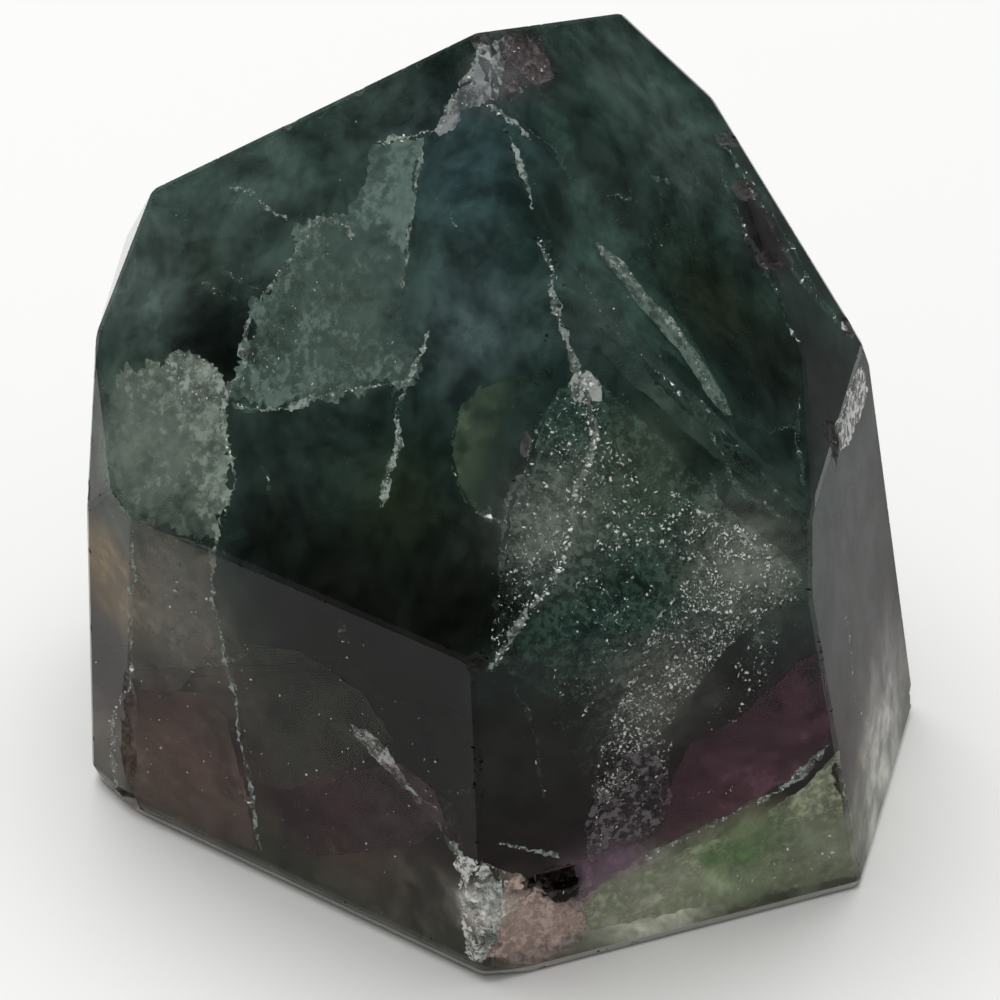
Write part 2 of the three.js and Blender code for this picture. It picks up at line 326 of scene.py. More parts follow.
# Soft patches of colour in the stone. at: the frame point of the middle; reach: mm; cloud and satin: how cloudy and
# how satin; weight: over other patches; turn: degrees round the stone to the side that shows it.
zones = {
    # peak, left facet
    "tealShoulder": {"at": (138, 270), "reach": 4.2, "color": "#7d908a", "cloud": 0.46},
    "tealCrest": {"at": (250, 190), "reach": 4.4, "color": "#697e77", "cloud": 0.42},
    "tealUnderCrest": {"at": (385, 110), "reach": 4.2, "color": "#60746e", "cloud": 0.38},
    "underWideVeil": {"at": (335, 310), "reach": 4.0, "color": "#7f978c", "cloud": 0.42},
    "blackHollow": {"at": (214, 340), "reach": 2.4, "color": "#2a352f", "cloud": 0.16, "weight": 2.2},
    "greenHollow": {"at": (205, 265), "reach": 2.2, "color": "#53675c", "cloud": 0.26, "weight": 1.3},
    "paleLeft": {"at": (150, 440), "reach": 3.6, "color": "#a3b0a3", "cloud": 0.5},
    "darkMiddle": {"at": (300, 465), "reach": 4.2, "color": "#4c6057", "cloud": 0.28},
    "blueMiddle": {"at": (470, 320), "reach": 3.8, "color": "#657a7b", "cloud": 0.4},
    "tealStem": {"at": (375, 240), "reach": 3.0, "color": "#6a877e", "cloud": 0.3},
    "blueUnderTip": {"at": (462, 170), "reach": 3.4, "color": "#5c7c82", "cloud": 0.34},
    "oliveHeart": {"at": (400, 500), "reach": 2.8, "color": "#506045", "cloud": 0.24},
    "deepHeart": {"at": (445, 610), "reach": 3.6, "color": "#363b33", "cloud": 0.17, "weight": 2},
    "deepFarLeft": {"at": (275, 530), "reach": 2.4, "color": "#3a423c", "cloud": 0.13, "weight": 1.5},
    "deepLeft": {"at": (350, 575), "reach": 3.0, "color": "#363c36", "cloud": 0.17, "weight": 2},
    # peak, right facets
    "violetTip": {"at": (522, 62), "reach": 2.3, "color": "#6a6064", "cloud": 0.45},
    "apexPale": {"at": (490, 78), "reach": 1.1, "color": "#9a9a9a", "cloud": 0.36, "weight": 2},
    "darkUnderCrest": {"at": (438, 78), "reach": 1.5, "color": "#2c3a36", "cloud": 0.12, "weight": 1.3},
    "tealTip": {"at": (620, 62), "reach": 3.6, "color": "#60746e", "cloud": 0.42},
    "tealRightTop": {"at": (690, 150), "reach": 3.6, "color": "#657872", "cloud": 0.4},
    "tealFold": {"at": (600, 200), "reach": 3.6, "color": "#566a64", "cloud": 0.28},
    "darkPeakMiddle": {"at": (685, 255), "reach": 3.6, "color": "#3c5246", "cloud": 0.26},
    "tealLowBand": {"at": (600, 318), "reach": 3.0, "color": "#657b76", "cloud": 0.4},
    "darkPeakRight": {"at": (775, 360), "reach": 4.0, "color": "#37433a", "cloud": 0.2},
    "oliveFold": {"at": (712, 300), "reach": 2.4, "color": "#4c573c", "cloud": 0.24},
    "mauveStrip": {"at": (765, 235), "reach": 2.0, "color": "#4a4044", "cloud": 0.2, "weight": 2, "satin": 0.6},
    "mauveShoulder": {"at": (835, 400), "reach": 2.6, "color": "#393438", "cloud": 0.25, "satin": 0.5},
    "sugarLeft": {"at": (545, 520), "reach": 3.2, "color": "#a2aaa2", "cloud": 0.3},
    "greenMiddle": {"at": (640, 470), "reach": 3.2, "color": "#70826f", "cloud": 0.38},
    "sugarRight": {"at": (745, 560), "reach": 3.4, "color": "#a0a59a", "cloud": 0.4},
    # foot, left facets
    "greyLeft": {"at": (170, 610), "reach": 4.2, "color": "#aaa69a", "cloud": 0.54},
    "greyLeftFoot": {"at": (230, 690), "reach": 2.6, "color": "#80736a", "cloud": 0.24},
    "brownLeft": {"at": (180, 765), "reach": 4.0, "color": "#9a7468", "cloud": 0.36},
    "maroonLeft": {"at": (330, 810), "reach": 4.0, "color": "#74464c", "cloud": 0.28},
    "greenLeftMiddle": {"at": (300, 760), "reach": 2.2, "color": "#5a5f55", "cloud": 0.18},
    "darkLeftTop": {"at": (420, 720), "reach": 4.2, "color": "#34332f", "cloud": 0.06, "weight": 1.5},
    "darkLeftMiddle": {"at": (330, 640), "reach": 3.6, "color": "#383834", "cloud": 0.08, "weight": 1.5},
    "oliveFoot": {"at": (400, 890), "reach": 3.4, "color": "#74695e", "cloud": 0.34},
    "tanCorner": {"at": (106, 570), "reach": 3.2, "color": "#b4915c", "cloud": 0.46},
    "tanCornerFoot": {"at": (106, 740), "reach": 3.0, "color": "#8f8175", "cloud": 0.36},
    # foot, right facets
    "frostedFoot": {"at": (487, 905), "reach": 1.3, "color": "#fdfaf4", "cloud": 1.0, "weight": 2.5},
    "pinkSpall": {"at": (535, 925), "reach": 2.3, "color": "#eccec4", "cloud": 0.9},
    # painted shade: a dark patch over the hollow in the foot
    "footHollowShade": {"at": (560, 886), "reach": 1.0, "color": "#181312", "cloud": 0.6, "weight": 8},
    "lilacBesideFoot": {"at": (608, 868), "reach": 2.2, "color": "#9c8094", "cloud": 0.6},
    "paleGreenLow": {"at": (655, 908), "reach": 3.6, "color": "#f2f4e0", "cloud": 1.0},
    "paleGreenMiddle": {"at": (735, 858), "reach": 3.2, "color": "#a2bd8c", "cloud": 0.9},
    "paleGreenCorner": {"at": (815, 850), "reach": 2.8, "color": "#98a38c", "cloud": 0.7},
    "maroonRight": {"at": (725, 785), "reach": 2.8, "color": "#703850", "cloud": 0.36},
    "maroonFarRight": {"at": (800, 720), "reach": 2.6, "color": "#64394a", "cloud": 0.32},
    "darkRightEdge": {"at": (520, 750), "reach": 3.4, "color": "#45443f", "cloud": 0.26, "weight": 1.5},
    "sugarBelow": {"at": (660, 690), "reach": 3.2, "color": "#8e9088", "cloud": 0.4},
    "satinRight": {"at": (860, 560), "reach": 9.0, "color": "#6f6d6f", "cloud": 0.45, "satin": 0.5},
    "satinRightLow": {"at": (893, 700), "reach": 4.5, "color": "#aeacac", "cloud": 0.7, "satin": 0.5},
    "paleRightFoot": {"at": (880, 775), "reach": 5.5, "color": "#e6e6de", "cloud": 1.0, "satin": 0.4},
    "leftBackGrey": {"at": (330, 600), "reach": 6.0, "color": "#6a7068", "cloud": 0.34, "turn": 270},
    "backMaroon": {"at": (700, 700), "reach": 5.0, "color": "#64404a", "cloud": 0.3, "turn": 180},
    "backFoot": {"at": (560, 800), "reach": 6.0, "color": "#7d8a6c", "cloud": 0.5, "turn": 180},
    "backDeep": {"at": (330, 520), "reach": 5.0, "color": "#3a463e", "cloud": 0.16, "turn": 180},
    "backCloud": {"at": (620, 300), "reach": 6.0, "color": "#5f7a70", "cloud": 0.36, "turn": 180},
}


def surfacePoint(tree, spot, turn=0):  # where the sight line through a frame point meets the stone
    forward, up, side = viewAxes(turn)
    half = shot["frameWidth"] / 2
    spread = math.tan(math.radians(shot["fieldOfView"] / 2)) / half
    ray = (forward + side * (spot[0] - half) * spread + up * (half - spot[1]) * spread).normalized()
    point, normal = tree.ray_cast(eyePoint(turn), ray)[:2]
    return point, normal, ray


def sinkPoint(tree, spot, depth, turn=0):  # the point that shows there from inside the stone, depth mm down
    point, normal, ray = surfacePoint(tree, spot, turn)
    if point is None:
        return None
    ratio = 1 / fluoriteIndex
    lean = -ray.dot(normal)
    bent = ray * ratio + normal * (ratio * lean - math.sqrt(1 - ratio ** 2 * (1 - lean ** 2)))
    return point + bent * (depth * millimetre / -bent.dot(normal))


def cutForPaint(mesh):
    shape = bmesh.new()
    shape.from_mesh(mesh)
    step = stone["paintGrid"] * millimetre
    low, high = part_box("fluorite_point")
    for axis in range(3):
        normal = Vector([1.0 if k == axis else 0.0 for k in range(3)])
        level = low[axis] + stone["paintStart"] * step
        while level < high[axis]:
            parts = shape.verts[:] + shape.edges[:] + shape.faces[:]
            bmesh.ops.bisect_plane(shape, geom=parts, plane_co=normal * level, plane_no=normal, dist=1e-7)
            level += step
    shape.to_mesh(mesh)
    shape.free()


def paintZones(mesh, tree):
    count = len(mesh.vertices)
    places, facing = np.empty(count * 3), np.empty(len(mesh.polygons) * 3)
    mesh.vertices.foreach_get("co", places)
    mesh.polygons.foreach_get("normal", facing)
    places, facing = places.reshape(-1, 3), facing.reshape(-1, 3)
    total, milky, mixed, satin = np.zeros(count), np.zeros(count), np.zeros((count, 3)), np.zeros(len(facing))
    for zone in zones.values():
        point, normal, ray = [np.array(part) for part in surfacePoint(tree, zone["at"], zone.get("turn", 0))]
        away = np.linalg.norm(places - point, axis=1) / (zone["reach"] * millimetre)
        weight = np.exp(-away ** 2) * zone.get("weight", 1)
        total += weight
        milky += zone["cloud"] * weight
        satin = np.maximum(satin, zone.get("satin", 0) * (facing @ normal > stone["sameFacet"]))
        mixed += np.outer(weight, linear(zone["color"])[:3])
    tint = mixed / np.maximum(total, 1e-6)[:, None]
    share = 1 - np.exp(-stone["zoneGain"] * total)
    for name, kind, values in (("zoneTint", "FLOAT_VECTOR", tint.ravel()), ("zoneShare", "FLOAT", share),
                               ("cloud", "FLOAT", share * milky / np.maximum(total, 1e-6)),
                               ("satin", "FLOAT", satin)):
        mesh.attributes.new(name, kind, "FACE" if name == "satin" else "POINT")
        mesh.attributes[name].data.foreach_set("vector" if kind == "FLOAT_VECTOR" else "value", values)


polish = {
    "bands": [(0.0, "#8a927c"), (0.10, "#7d7a66"), (0.17, "#50383c"), (0.25, "#463a3a"), (0.33, "#3a403c"),
              (0.45, "#4c6a60"), (1.0, "#587c72")],  # colour layers up the stone, share of its height
    "bandHeight": 56.0,  # mm
    "bandWarp": 5.0,  # how far the layers wander, mm
    "wispSize": 12.0,  # mm
    "wispPull": 0.006,  # how far the wisps pull the clouds along, m
    "cloudSize": 2.6,  # mm
    "cloudLevels": (0.33, 0.67),  # noise levels of the thinnest and thickest cloud
    "cloudShade": (0.72, 1.28),  # darkest and lightest cloud, share of the colour
    "grainSize": 0.2,  # sugary grain of the broken places, mm
    "grainLevels": (0.36, 0.64),
    "grainShade": (0.66, 1.4),  # darkest and lightest grain, share of the colour
    "grainHeight": 0.00016,  # m
    "grainStrength": 0.8,
    "breakColor": "#777472",
    "breakClear": 0.8,  # how clear a break is, share of the skin beside it
    "breakRough": 0.55,
    "rimHeight": 0.7,  # mm
    "rimFade": 0.8,  # share of the rim's height where its frost is full
    "rimMilk": 0.8,
    # light grey of the ground bevel, partly a painted reflection of the white floor
    "rimFrostAndReflection": "#b4b2ae",
    "clearTint": "#dfece6",
    "tintEnds": (0.995, 0.95),  # how clear the stone is where its paint begins to show and where it has taken over
    "haze": 0.15,  # how milky the unpainted stone is
    "shine": 0.03,
    "mirror": "#5c5c5c",
    "absorbs": "#20584c",
    "density": 135.0,
}


def stoneMaterial():
    # Fluorite, ground flat and polished: a glassy skin over a body that swallows light, deep green above
    # and layered in maroon and pale green below, with clouds of fine pits; its breaks are sugary and pale.
    material, tree = newMaterial("polishedFluorite")
    place = addNode(tree, "ShaderNodeTexCoord").outputs["Object"]
    broken, zoneShare, cloud, satin = [
        addNode(tree, "ShaderNodeAttribute", attribute_name=name).outputs["Fac"]
        for name in ("broken", "zoneShare", "cloud", "satin")]
    zoneTint = addNode(tree, "ShaderNodeAttribute", attribute_name="zoneTint").outputs["Vector"]
    wide = addNode(tree, "ShaderNodeTexNoise", {
        "Vector": place, "Scale": 1000 / polish["wispSize"], "Detail": 1.0})
    pushed = addNode(tree, "ShaderNodeVectorMath", {
        0: wide.outputs["Color"], 1: (polish["wispPull"],) * 3, 2: place}, operation="MULTIPLY_ADD")
    fine = addNode(tree, "ShaderNodeTexNoise", {
        "Vector": pushed.outputs[0], "Scale": 1000 / polish["cloudSize"], "Detail": 3.0, "Roughness": 0.68})
    grain = addNode(tree, "ShaderNodeTexNoise", {
        "Vector": place, "Scale": 1000 / polish["grainSize"] / 2, "Detail": 1.0, "Roughness": 0.75})
    axes = addNode(tree, "ShaderNodeSeparateXYZ", {0: place})
    warp = addNode(tree, "ShaderNodeMath", {0: wide.outputs[0], 1: 0.5}, operation="SUBTRACT")
    wander = addNode(tree, "ShaderNodeMath", {0: warp.outputs[0], 1: polish["bandWarp"] * millimetre * 2,
                                              2: axes.outputs["Z"]}, operation="MULTIPLY_ADD")
    level = addNode(tree, "ShaderNodeMath", {0: wander.outputs[0], 1: polish["bandHeight"] * millimetre},
                    operation="DIVIDE")
    bands = addNode(tree, "ShaderNodeValToRGB", {0: level.outputs[0]})
    ramp = bands.color_ramp
    ramp.elements.remove(ramp.elements[1])
    ramp.elements[0].color = linear(polish["bands"][0][1])
    for position, color in polish["bands"][1:]:
        ramp.elements.new(position).color = linear(color)
    zoned = addNode(tree, "ShaderNodeMix", {0: zoneShare, 6: bands.outputs[0], 7: zoneTint}, data_type="RGBA")
    mottle = addNode(tree, "ShaderNodeMapRange", {
        "Value": fine.outputs[0], "From Min": polish["cloudLevels"][0], "From Max": polish["cloudLevels"][1],
        "To Min": polish["cloudShade"][0], "To Max": polish["cloudShade"][1]})
    mottled = addNode(tree, "ShaderNodeVectorMath", {0: zoned.outputs[2], "Scale": mottle.outputs[0]},
                      operation="SCALE")
    # Breaks are lighter than the polished skin, with a salt-and-pepper grain.
    frost = addNode(tree, "ShaderNodeMapRange", {
        "Value": grain.outputs[0], "From Min": polish["grainLevels"][0], "From Max": polish["grainLevels"][1],
        "To Min": polish["grainShade"][0], "To Max": polish["grainShade"][1]})
    bare = addNode(tree, "ShaderNodeMix", {0: zoneShare, 6: linear(polish["breakColor"]), 7: zoneTint},
                   data_type="RGBA")
    frosted = addNode(tree, "ShaderNodeVectorMath", {0: bare.outputs[2], "Scale": frost.outputs[0]},
                      operation="SCALE")
    skinPaint = addNode(tree, "ShaderNodeMix", {0: broken, 6: mottled.outputs[0], 7: frosted.outputs[0]},
                        data_type="RGBA")
    # The bevel round the base is ground but not polished; its light grey is partly a painted reflection of the white
    # floor.
    rim = addNode(tree, "ShaderNodeMapRange", {
        "Value": axes.outputs["Z"], "From Min": polish["rimHeight"] * millimetre,
        "From Max": polish["rimHeight"] * millimetre * polish["rimFade"]})
    paint = addNode(tree, "ShaderNodeMix", {
        0: rim.outputs[0], 6: skinPaint.outputs[2], 7: linear(polish["rimFrostAndReflection"])}, data_type="RGBA")
    # Cloudy places let less light through and send some back.
    haze = addNode(tree, "ShaderNodeMix", {0: zoneShare, 2: polish["haze"], 3: 0.0})
    thick = addNode(tree, "ShaderNodeMath", {0: haze.outputs[0], 1: cloud})
    dense = addNode(tree, "ShaderNodeMath", {0: thick.outputs[0], 1: mottle.outputs[0]}, operation="MULTIPLY")
    milky = addNode(tree, "ShaderNodeMath", {0: rim.outputs[0], 1: polish["rimMilk"], 2: dense.outputs[0]},
                    operation="MULTIPLY_ADD")
    skinClear = addNode(tree, "ShaderNodeMath", {0: 1.0, 1: milky.outputs[0]}, operation="SUBTRACT", use_clamp=True)
    breakClear = addNode(tree, "ShaderNodeMath", {0: skinClear.outputs[0], 1: polish["breakClear"]},
                         operation="MULTIPLY")
    clear = addNode(tree, "ShaderNodeMix", {0: broken, 2: skinClear.outputs[0], 3: breakClear.outputs[0]})
    tinted = addNode(tree, "ShaderNodeMapRange", {
        "Value": clear.outputs[0], "From Min": polish["tintEnds"][0], "From Max": polish["tintEnds"][1]})
    painted = addNode(tree, "ShaderNodeMath", {0: tinted.outputs[0], 1: zoneShare}, operation="MAXIMUM")
    base = addNode(tree, "ShaderNodeMix", {0: painted.outputs[0], 6: linear(polish["clearTint"]),
                                           7: paint.outputs[2]}, data_type="RGBA")
    dull = addNode(tree, "ShaderNodeMath", {0: satin, 1: polish["shine"]})
    rough = addNode(tree, "ShaderNodeMix", {0: broken, 2: dull.outputs[0], 3: polish["breakRough"]})
    sugar = addNode(tree, "ShaderNodeMath", {0: grain.outputs[0], 1: broken}, operation="MULTIPLY")
    rugged = addNode(tree, "ShaderNodeBump", {
        "Height": sugar.outputs[0], "Distance": polish["grainHeight"], "Strength": polish["grainStrength"]})
    skin = addNode(tree, "ShaderNodeBsdfPrincipled", {
        "Base Color": base.outputs[2], "Roughness": rough.outputs[0], "IOR": fluoriteIndex,
        "Specular Tint": linear(polish["mirror"]),
        "Transmission Weight": clear.outputs[0], "Normal": rugged.outputs[0]})
    body = addNode(tree, "ShaderNodeVolumeAbsorption", {"Color": linear(polish["absorbs"]),
                                                        "Density": polish["density"]})
    addNode(tree, "ShaderNodeOutputMaterial", {"Surface": skin.outputs[0], "Volume": body.outputs[0]})
    return material


piece = copyOfSolid()
plain = bmesh.new()
plain.from_mesh(piece.data)
sight = BVHTree.FromBMesh(plain)
plain.free()
skinOfStone = stoneMaterial()
piece.data = runTree(piece, nickTree(), {**stone["nicks"], "Material": skinOfStone})
piece.modifiers.clear()
piece.data.materials.clear()
piece.data.materials.append(skinOfStone)
cutForPaint(piece.data)
paintZones(piece.data, sight)
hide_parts("fluorite_point")
dress(piece)


# Healed cracks and wedges of colour are thin sheets just under the facets, and one dark sheet is painted shade over
# the hollow in the foot; those with a crisp edge lie on the skin, at a depth below nought. Each corner is a frame
# point
# and how milky the sheet is there. depth: mm.
veils = {
    # peak, left facet
    "wideVeil": {"depth": -0.02, "color": "#5e7068", "sugar": 0.2, "ragged": 0.3, "outline": [
        (331, 217, .8), (349, 226, .8), (351, 237, .6), (372, 232, .4), (398, 262, .3), (404, 300, .2),
        (396, 330, .2), (420, 368, .3), (407, 383, .8), (382, 387, .9), (349, 389, .9), (327, 399, .9),
        (305, 400, .8), (287, 409, .9), (255, 411, 1), (229, 403, 1), (227, 389, 1), (240, 377, 1),
        (244, 360, 1), (245, 341, 1), (249, 319, 1), (258, 301, 1), (269, 290, .9), (276, 275, .9),
        (289, 255, .9), (302, 243, .9), (298, 230, .8), (320, 221, .8)],
        "core": [(300, 330, .7), (350, 300, .5), (340, 350, .5), (280, 370, .8)]},
    "tallVeil": {"depth": -0.02, "color": "#63766f", "sugar": 0.15, "ragged": 0.12, "outline": [
        (378, 145, .8), (401, 142, .9), (424, 137, 1.1), (416, 174, 1.3), (411, 214, 1.3), (405, 250, 1),
        (400, 290, .5), (372, 260, .4), (351, 228, .6), (349, 210, .7), (360, 190, .9), (367, 172, .9),
        (371, 152, .8)]},
    "crestHaze": {"depth": 0.7, "color": "#b4ccc2", "ragged": 0.0, "outline": [
        (150, 195, 0), (240, 150, 0), (340, 110, 0), (440, 70, 0), (440, 115, 0), (360, 150, 0),
        (330, 205, 0), (240, 235, 0), (180, 225, 0)],
        "core": [(210, 195, .5), (280, 190, .4), (300, 160, .3), (370, 120, .3)]},
    "blueHaze": {"depth": 1.2, "color": "#8fb0b0", "ragged": 0.06, "outline": [
        (405, 271, .5), (440, 270, .5), (478, 268, .5), (498, 246, .6), (520, 240, .6), (538, 239, .7),
        (552, 270, .7), (556, 300, .5), (566, 335, .3), (560, 365, 0), (500, 350, 0), (450, 340, 0),
        (420, 345, 0), (402, 320, .1)], "core": [(500, 290, .6), (450, 300, .5)]},
    "leftVeil": {"depth": -0.02, "color": "#7f8b80", "sugar": 0.2, "ragged": 0.3, "outline": [
        (150, 362, .8), (162, 370, .7), (170, 357, 1), (176, 354, 1), (188, 352, 1), (208, 364, 1),
        (216, 378, 1), (228, 392, 1), (222, 410, 1), (224, 434, .9), (230, 462, .9), (234, 482, .9),
        (232, 502, .8), (220, 530, .7), (218, 545, .5), (180, 532, .3), (140, 516, .3), (112, 500, .3),
        (104, 470, .3), (104, 430, .3), (108, 390, .4), (120, 370, .4)],
        "core": [(190, 385, 1), (160, 450, .5), (190, 480, .6)]},
    "archVeil": {"depth": 0.9, "color": "#a9bdb4", "ragged": 0.08, "outline": [
        (150, 205, .3), (200, 212, .4), (250, 212, .4), (300, 225, .4), (290, 245, .1), (240, 238, .1),
        (190, 238, .3), (172, 262, .4), (160, 300, .5), (158, 340, .6), (172, 352, .6), (150, 372, .4),
        (120, 372, .3), (104, 345, .2), (112, 290, .2), (130, 235, .2)]},
    "streakVeil": {"depth": 0.3, "color": "#cfd9d0", "sugar": 0.7, "ragged": 0.3, "outline": [
        (228, 186, .9), (243, 183, 1), (262, 200, .5), (290, 217, .8), (284, 222, .6), (255, 210, .4),
        (235, 198, .6)]},
    "oliveHaze": {"depth": -0.02, "color": "#4c5c4a", "ragged": 0.05, "outline": [
        (478, 388, .7), (462, 408, .9), (455, 430, .9), (453, 455, .9), (458, 480, .8), (472, 505, .5),
        (488, 520, .2), (495, 500, 0), (505, 470, 0), (520, 440, 0), (545, 415, 0), (560, 385, 0),
        (520, 375, .2)]},
    # peak, right facets
    "foldLight": {"depth": 0.3, "color": "#d4e6dc", "ragged": 0.0, "outline": [
        (540, 90, 0), (575, 110, 0), (640, 245, 0), (668, 300, .6), (700, 350, .8), (730, 405, .5),
        (740, 450, 0), (690, 415, 0), (655, 372, 0), (590, 300, 0), (560, 215, 0), (546, 160, 0)],
        "core": [(560, 130, 1.1), (582, 200, 1.2), (602, 250, 1.5), (640, 305, 1.6), (650, 335, 1)]},
    "lowSweep": {"depth": -0.02, "color": "#4a5c54", "ragged": 0.06, "outline": [
        (560, 262, .2), (590, 290, .3), (640, 336, .3), (690, 392, .3), (750, 446, .3), (806, 500, .3),
        (806, 514, .6), (762, 492, .7), (690, 436, .8), (630, 380, .8), (585, 330, .7), (566, 296, .5)],
        "core": [(600, 325, .5), (650, 375, .5), (720, 440, .5)]},
    "rightFold": {"depth": 0.3, "color": "#c6d2ca", "ragged": 0.0, "outline": [
        (690, 110, 0), (720, 150, 0), (765, 230, 0), (805, 320, 0), (832, 400, 0), (818, 440, 0),
        (780, 370, 0), (735, 280, 0), (700, 190, 0), (680, 130, 0)],
        "core": [(705, 150, 1), (735, 220, 1.1), (770, 300, 1), (808, 385, 1)]},
    "tipHaze": {"depth": 1.0, "color": "#b0c8be", "ragged": 0.0, "outline": [
        (560, 40, 0), (618, 22, .2), (655, 48, .4), (700, 98, .4), (714, 145, .2), (700, 190, 0),
        (640, 150, 0), (590, 125, 0), (545, 90, 0)], "core": [(650, 85, .6), (680, 120, .5)]},
    "curvedBand": {"depth": -0.02, "color": "#5c6c64", "sugar": 0.35, "ragged": 0.04, "outline": [
        (594, 242, .5), (612, 254, .8), (632, 274, 1), (648, 296, 1.2), (668, 314, 1.4), (686, 338, 1.5),
        (704, 362, 1.4), (718, 386, 1.3), (734, 416, 1), (724, 416, .8), (708, 396, 1.2), (692, 370, 1.3),
        (674, 346, 1.2), (657, 326, 1), (638, 304, .8), (622, 284, .6), (604, 262, .4)]},
    "spineBand": {"depth": 0.08, "color": "#e4e8e2", "sugar": 0.7, "ragged": 0.1, "outline": [
        (574, 376, .9), (586, 370, 1), (598, 380, 1), (602, 400, .9), (601, 430, .8), (598, 460, .8), (584, 500, .8),
        (578, 535, .8), (566, 570, .9), (552, 600, .9), (530, 628, .9), (508, 652, .9), (490, 672, .9),
        (478, 668, .8), (492, 650, .7), (512, 622, .6), (536, 590, .5), (552, 560, .5), (560, 530, .4),
        (568, 490, .4), (582, 455, .4),
        (588, 435, .5), (580, 404, .7)]},
    "wideVeilBase": {"depth": 0.2, "color": "#e0e8e4", "sugar": 0.4, "ragged": 0.16, "outline": [
        (229, 404, .9), (255, 411, .9), (287, 409, .9), (305, 401, .9), (349, 390, .8), (382, 388, .8),
        (407, 384, .7), (402, 368, .3), (380, 372, .4), (350, 374, .3), (320, 382, .4), (300, 388, .4),
        (280, 392, .4), (262, 386, .5), (250, 392, .6), (240, 396, .7)]},
    "leftVeilCrown": {"depth": -0.02, "color": "#8f9a91", "sugar": 0.6, "ragged": 0.12, "outline": [
        (158, 366, .5), (166, 362, .8), (172, 356, 1.2), (188, 352, 1.2), (208, 364, 1.2), (216, 378, 1.3),
        (228, 392, 1.3), (223, 410, 1), (212, 408, .7), (200, 412, .6), (184, 418, .5), (170, 400, .4)]},
    "spineCap": {"depth": -0.02, "color": "#a8aea8", "sugar": 0.6, "ragged": 0.12, "outline": [
        (568, 384, 1), (574, 372, 1.2), (588, 368, 1.2), (600, 380, 1.2), (600, 398, 1.2), (590, 404, 1),
        (576, 400, .8)]},
    "darkLens": {"depth": 0.2, "color": "#070908", "ragged": 0.04, "outline": [
        (659, 347, .6), (669, 352, .8), (697, 377, .9), (717, 413, .9), (700, 402, .9), (684, 395, .8),
        (664, 372, .7)]},
    "apexVein": {"depth": -0.02, "color": "#8a8e8f", "sugar": 0.35, "ragged": 0.14, "outline": [
        (478, 46, 1.1), (495, 42, 1.1), (510, 38, 0.98), (508, 60, 0.84), (500, 85, 0.84), (497, 100, 0.98),
        (480, 108, 0.84), (462, 112, 0.84), (455, 125, 1.1), (440, 132, 1.4), (437, 132, 1.4), (444, 120, 1.4),
        (451, 105, 1.4), (456, 93, 1.4), (470, 79, 1.4), (474, 65, 1.4)]},
    "apexBrown": {"depth": -0.02, "color": "#66605f", "sugar": 0.8, "ragged": 0.3, "outline": [
        (514, 36, .4), (548, 34, .4), (549, 60, .5), (540, 88, .6), (520, 95, .5), (505, 88, .5),
        (502, 60, .4)]},
    "rightTongue": {"depth": 0.12, "color": "#c4c2c0", "ragged": 0.12, "outline": [
        (846, 440, .3), (835, 464, .3), (830, 491, .3), (822, 505, .3), (818, 532, .25), (812, 580, .25),
        (818, 640, .3), (836, 740, .4), (852, 840, .6), (866, 840, .8), (890, 760, .8), (905, 690, .8),
        (900, 620, .35), (892, 551, .3), (882, 557, .3), (875, 541, .3), (874, 516, .3), (868, 498, .3),
        (860, 503, .3), (854, 471, .3), (857, 440, .3)], "core": [(870, 740, .8), (860, 640, .35)]},
    # sugary patch across the middle
    "sugarSheet": {"depth": 0.12, "color": "#f0f3ec", "sugar": 0.85, "ragged": 0.1, "outline": [
        (577, 372, .8), (600, 380, .6), (640, 420, .3), (690, 470, .3), (740, 520, .7), (785, 556, 1),
        (802, 578, .9), (798, 597, .8), (750, 612, .6), (720, 650, .5), (690, 690, .5), (650, 745, .5),
        (615, 795, .5), (588, 800, .3), (570, 740, .1), (550, 700, .1), (520, 680, .2), (492, 655, .6),
        (494, 600, .6), (507, 545, .6), (516, 500, .6), (535, 440, .5), (545, 415, .5), (560, 390, .6)],
        "core": [(620, 450, .4), (640, 540, .5), (600, 520, .5), (700, 575, 1), (650, 640, .8),
                 (560, 540, .7), (530, 610, .8), (580, 660, .5), (670, 500, .3), (600, 600, .5)]},
    # foot, left facets
    "chipVeil": {"depth": -0.02, "color": "#a6a4a0", "sugar": 0.5, "ragged": 0.08, "outline": [
        (350, 724, .4), (364, 730, .8), (378, 740, .9), (392, 754, 1), (402, 770, 1), (410, 786, .9),
        (398, 780, .8), (384, 766, .6), (368, 750, .5), (356, 738, .4)]},
    "chipSheet": {"depth": 0.06, "color": "#dcdcd6", "sugar": 0.4, "ragged": 0.12, "outline": [
        (430, 798, .4), (444, 800, .8), (454, 812, .8), (460, 832, .8), (466, 856, .9), (458, 862, .6),
        (448, 846, .5), (440, 826, .4)]},
    "greyPane": {"depth": -0.02, "color": "#7e7a72", "ragged": 0.05, "outline": [
        (132, 520, .4), (216, 550, .5), (212, 600, .5), (222, 640, .4), (180, 690, .2), (132, 690, .3)]},
    "brownWedge": {"depth": -0.02, "color": "#6c5c56", "ragged": 0.05, "outline": [
        (130, 690, .3), (200, 690, .3), (228, 720, .5), (245, 790, .6), (258, 850, .6), (200, 835, .5),
        (140, 812, .5), (128, 780, .5)]},
    "olivePane": {"depth": -0.02, "color": "#55564d", "ragged": 0.05, "outline": [
        (225, 640, .3), (300, 650, .3), (360, 690, .4), (395, 740, .4), (345, 768, .4), (290, 790, .4),
        (248, 780, .3)]},
    "maroonLens": {"depth": -0.02, "color": "#4e4043", "ragged": 0.05, "outline": [
        (285, 805, .2), (345, 775, .5), (400, 762, .7), (435, 790, .7), (446, 822, .7), (420, 842, .6),
        (370, 852, .5), (320, 856, .3), (275, 850, .1)]},
    # foot, right facets
    "paleGreenFoot": {"depth": -0.02, "color": "#9aa187", "sugar": 0.15, "ragged": 0.06, "outline": [
        (600, 884, .6), (640, 868, .7), (690, 849, .8), (740, 827, .8), (790, 797, .8), (822, 770, .8),
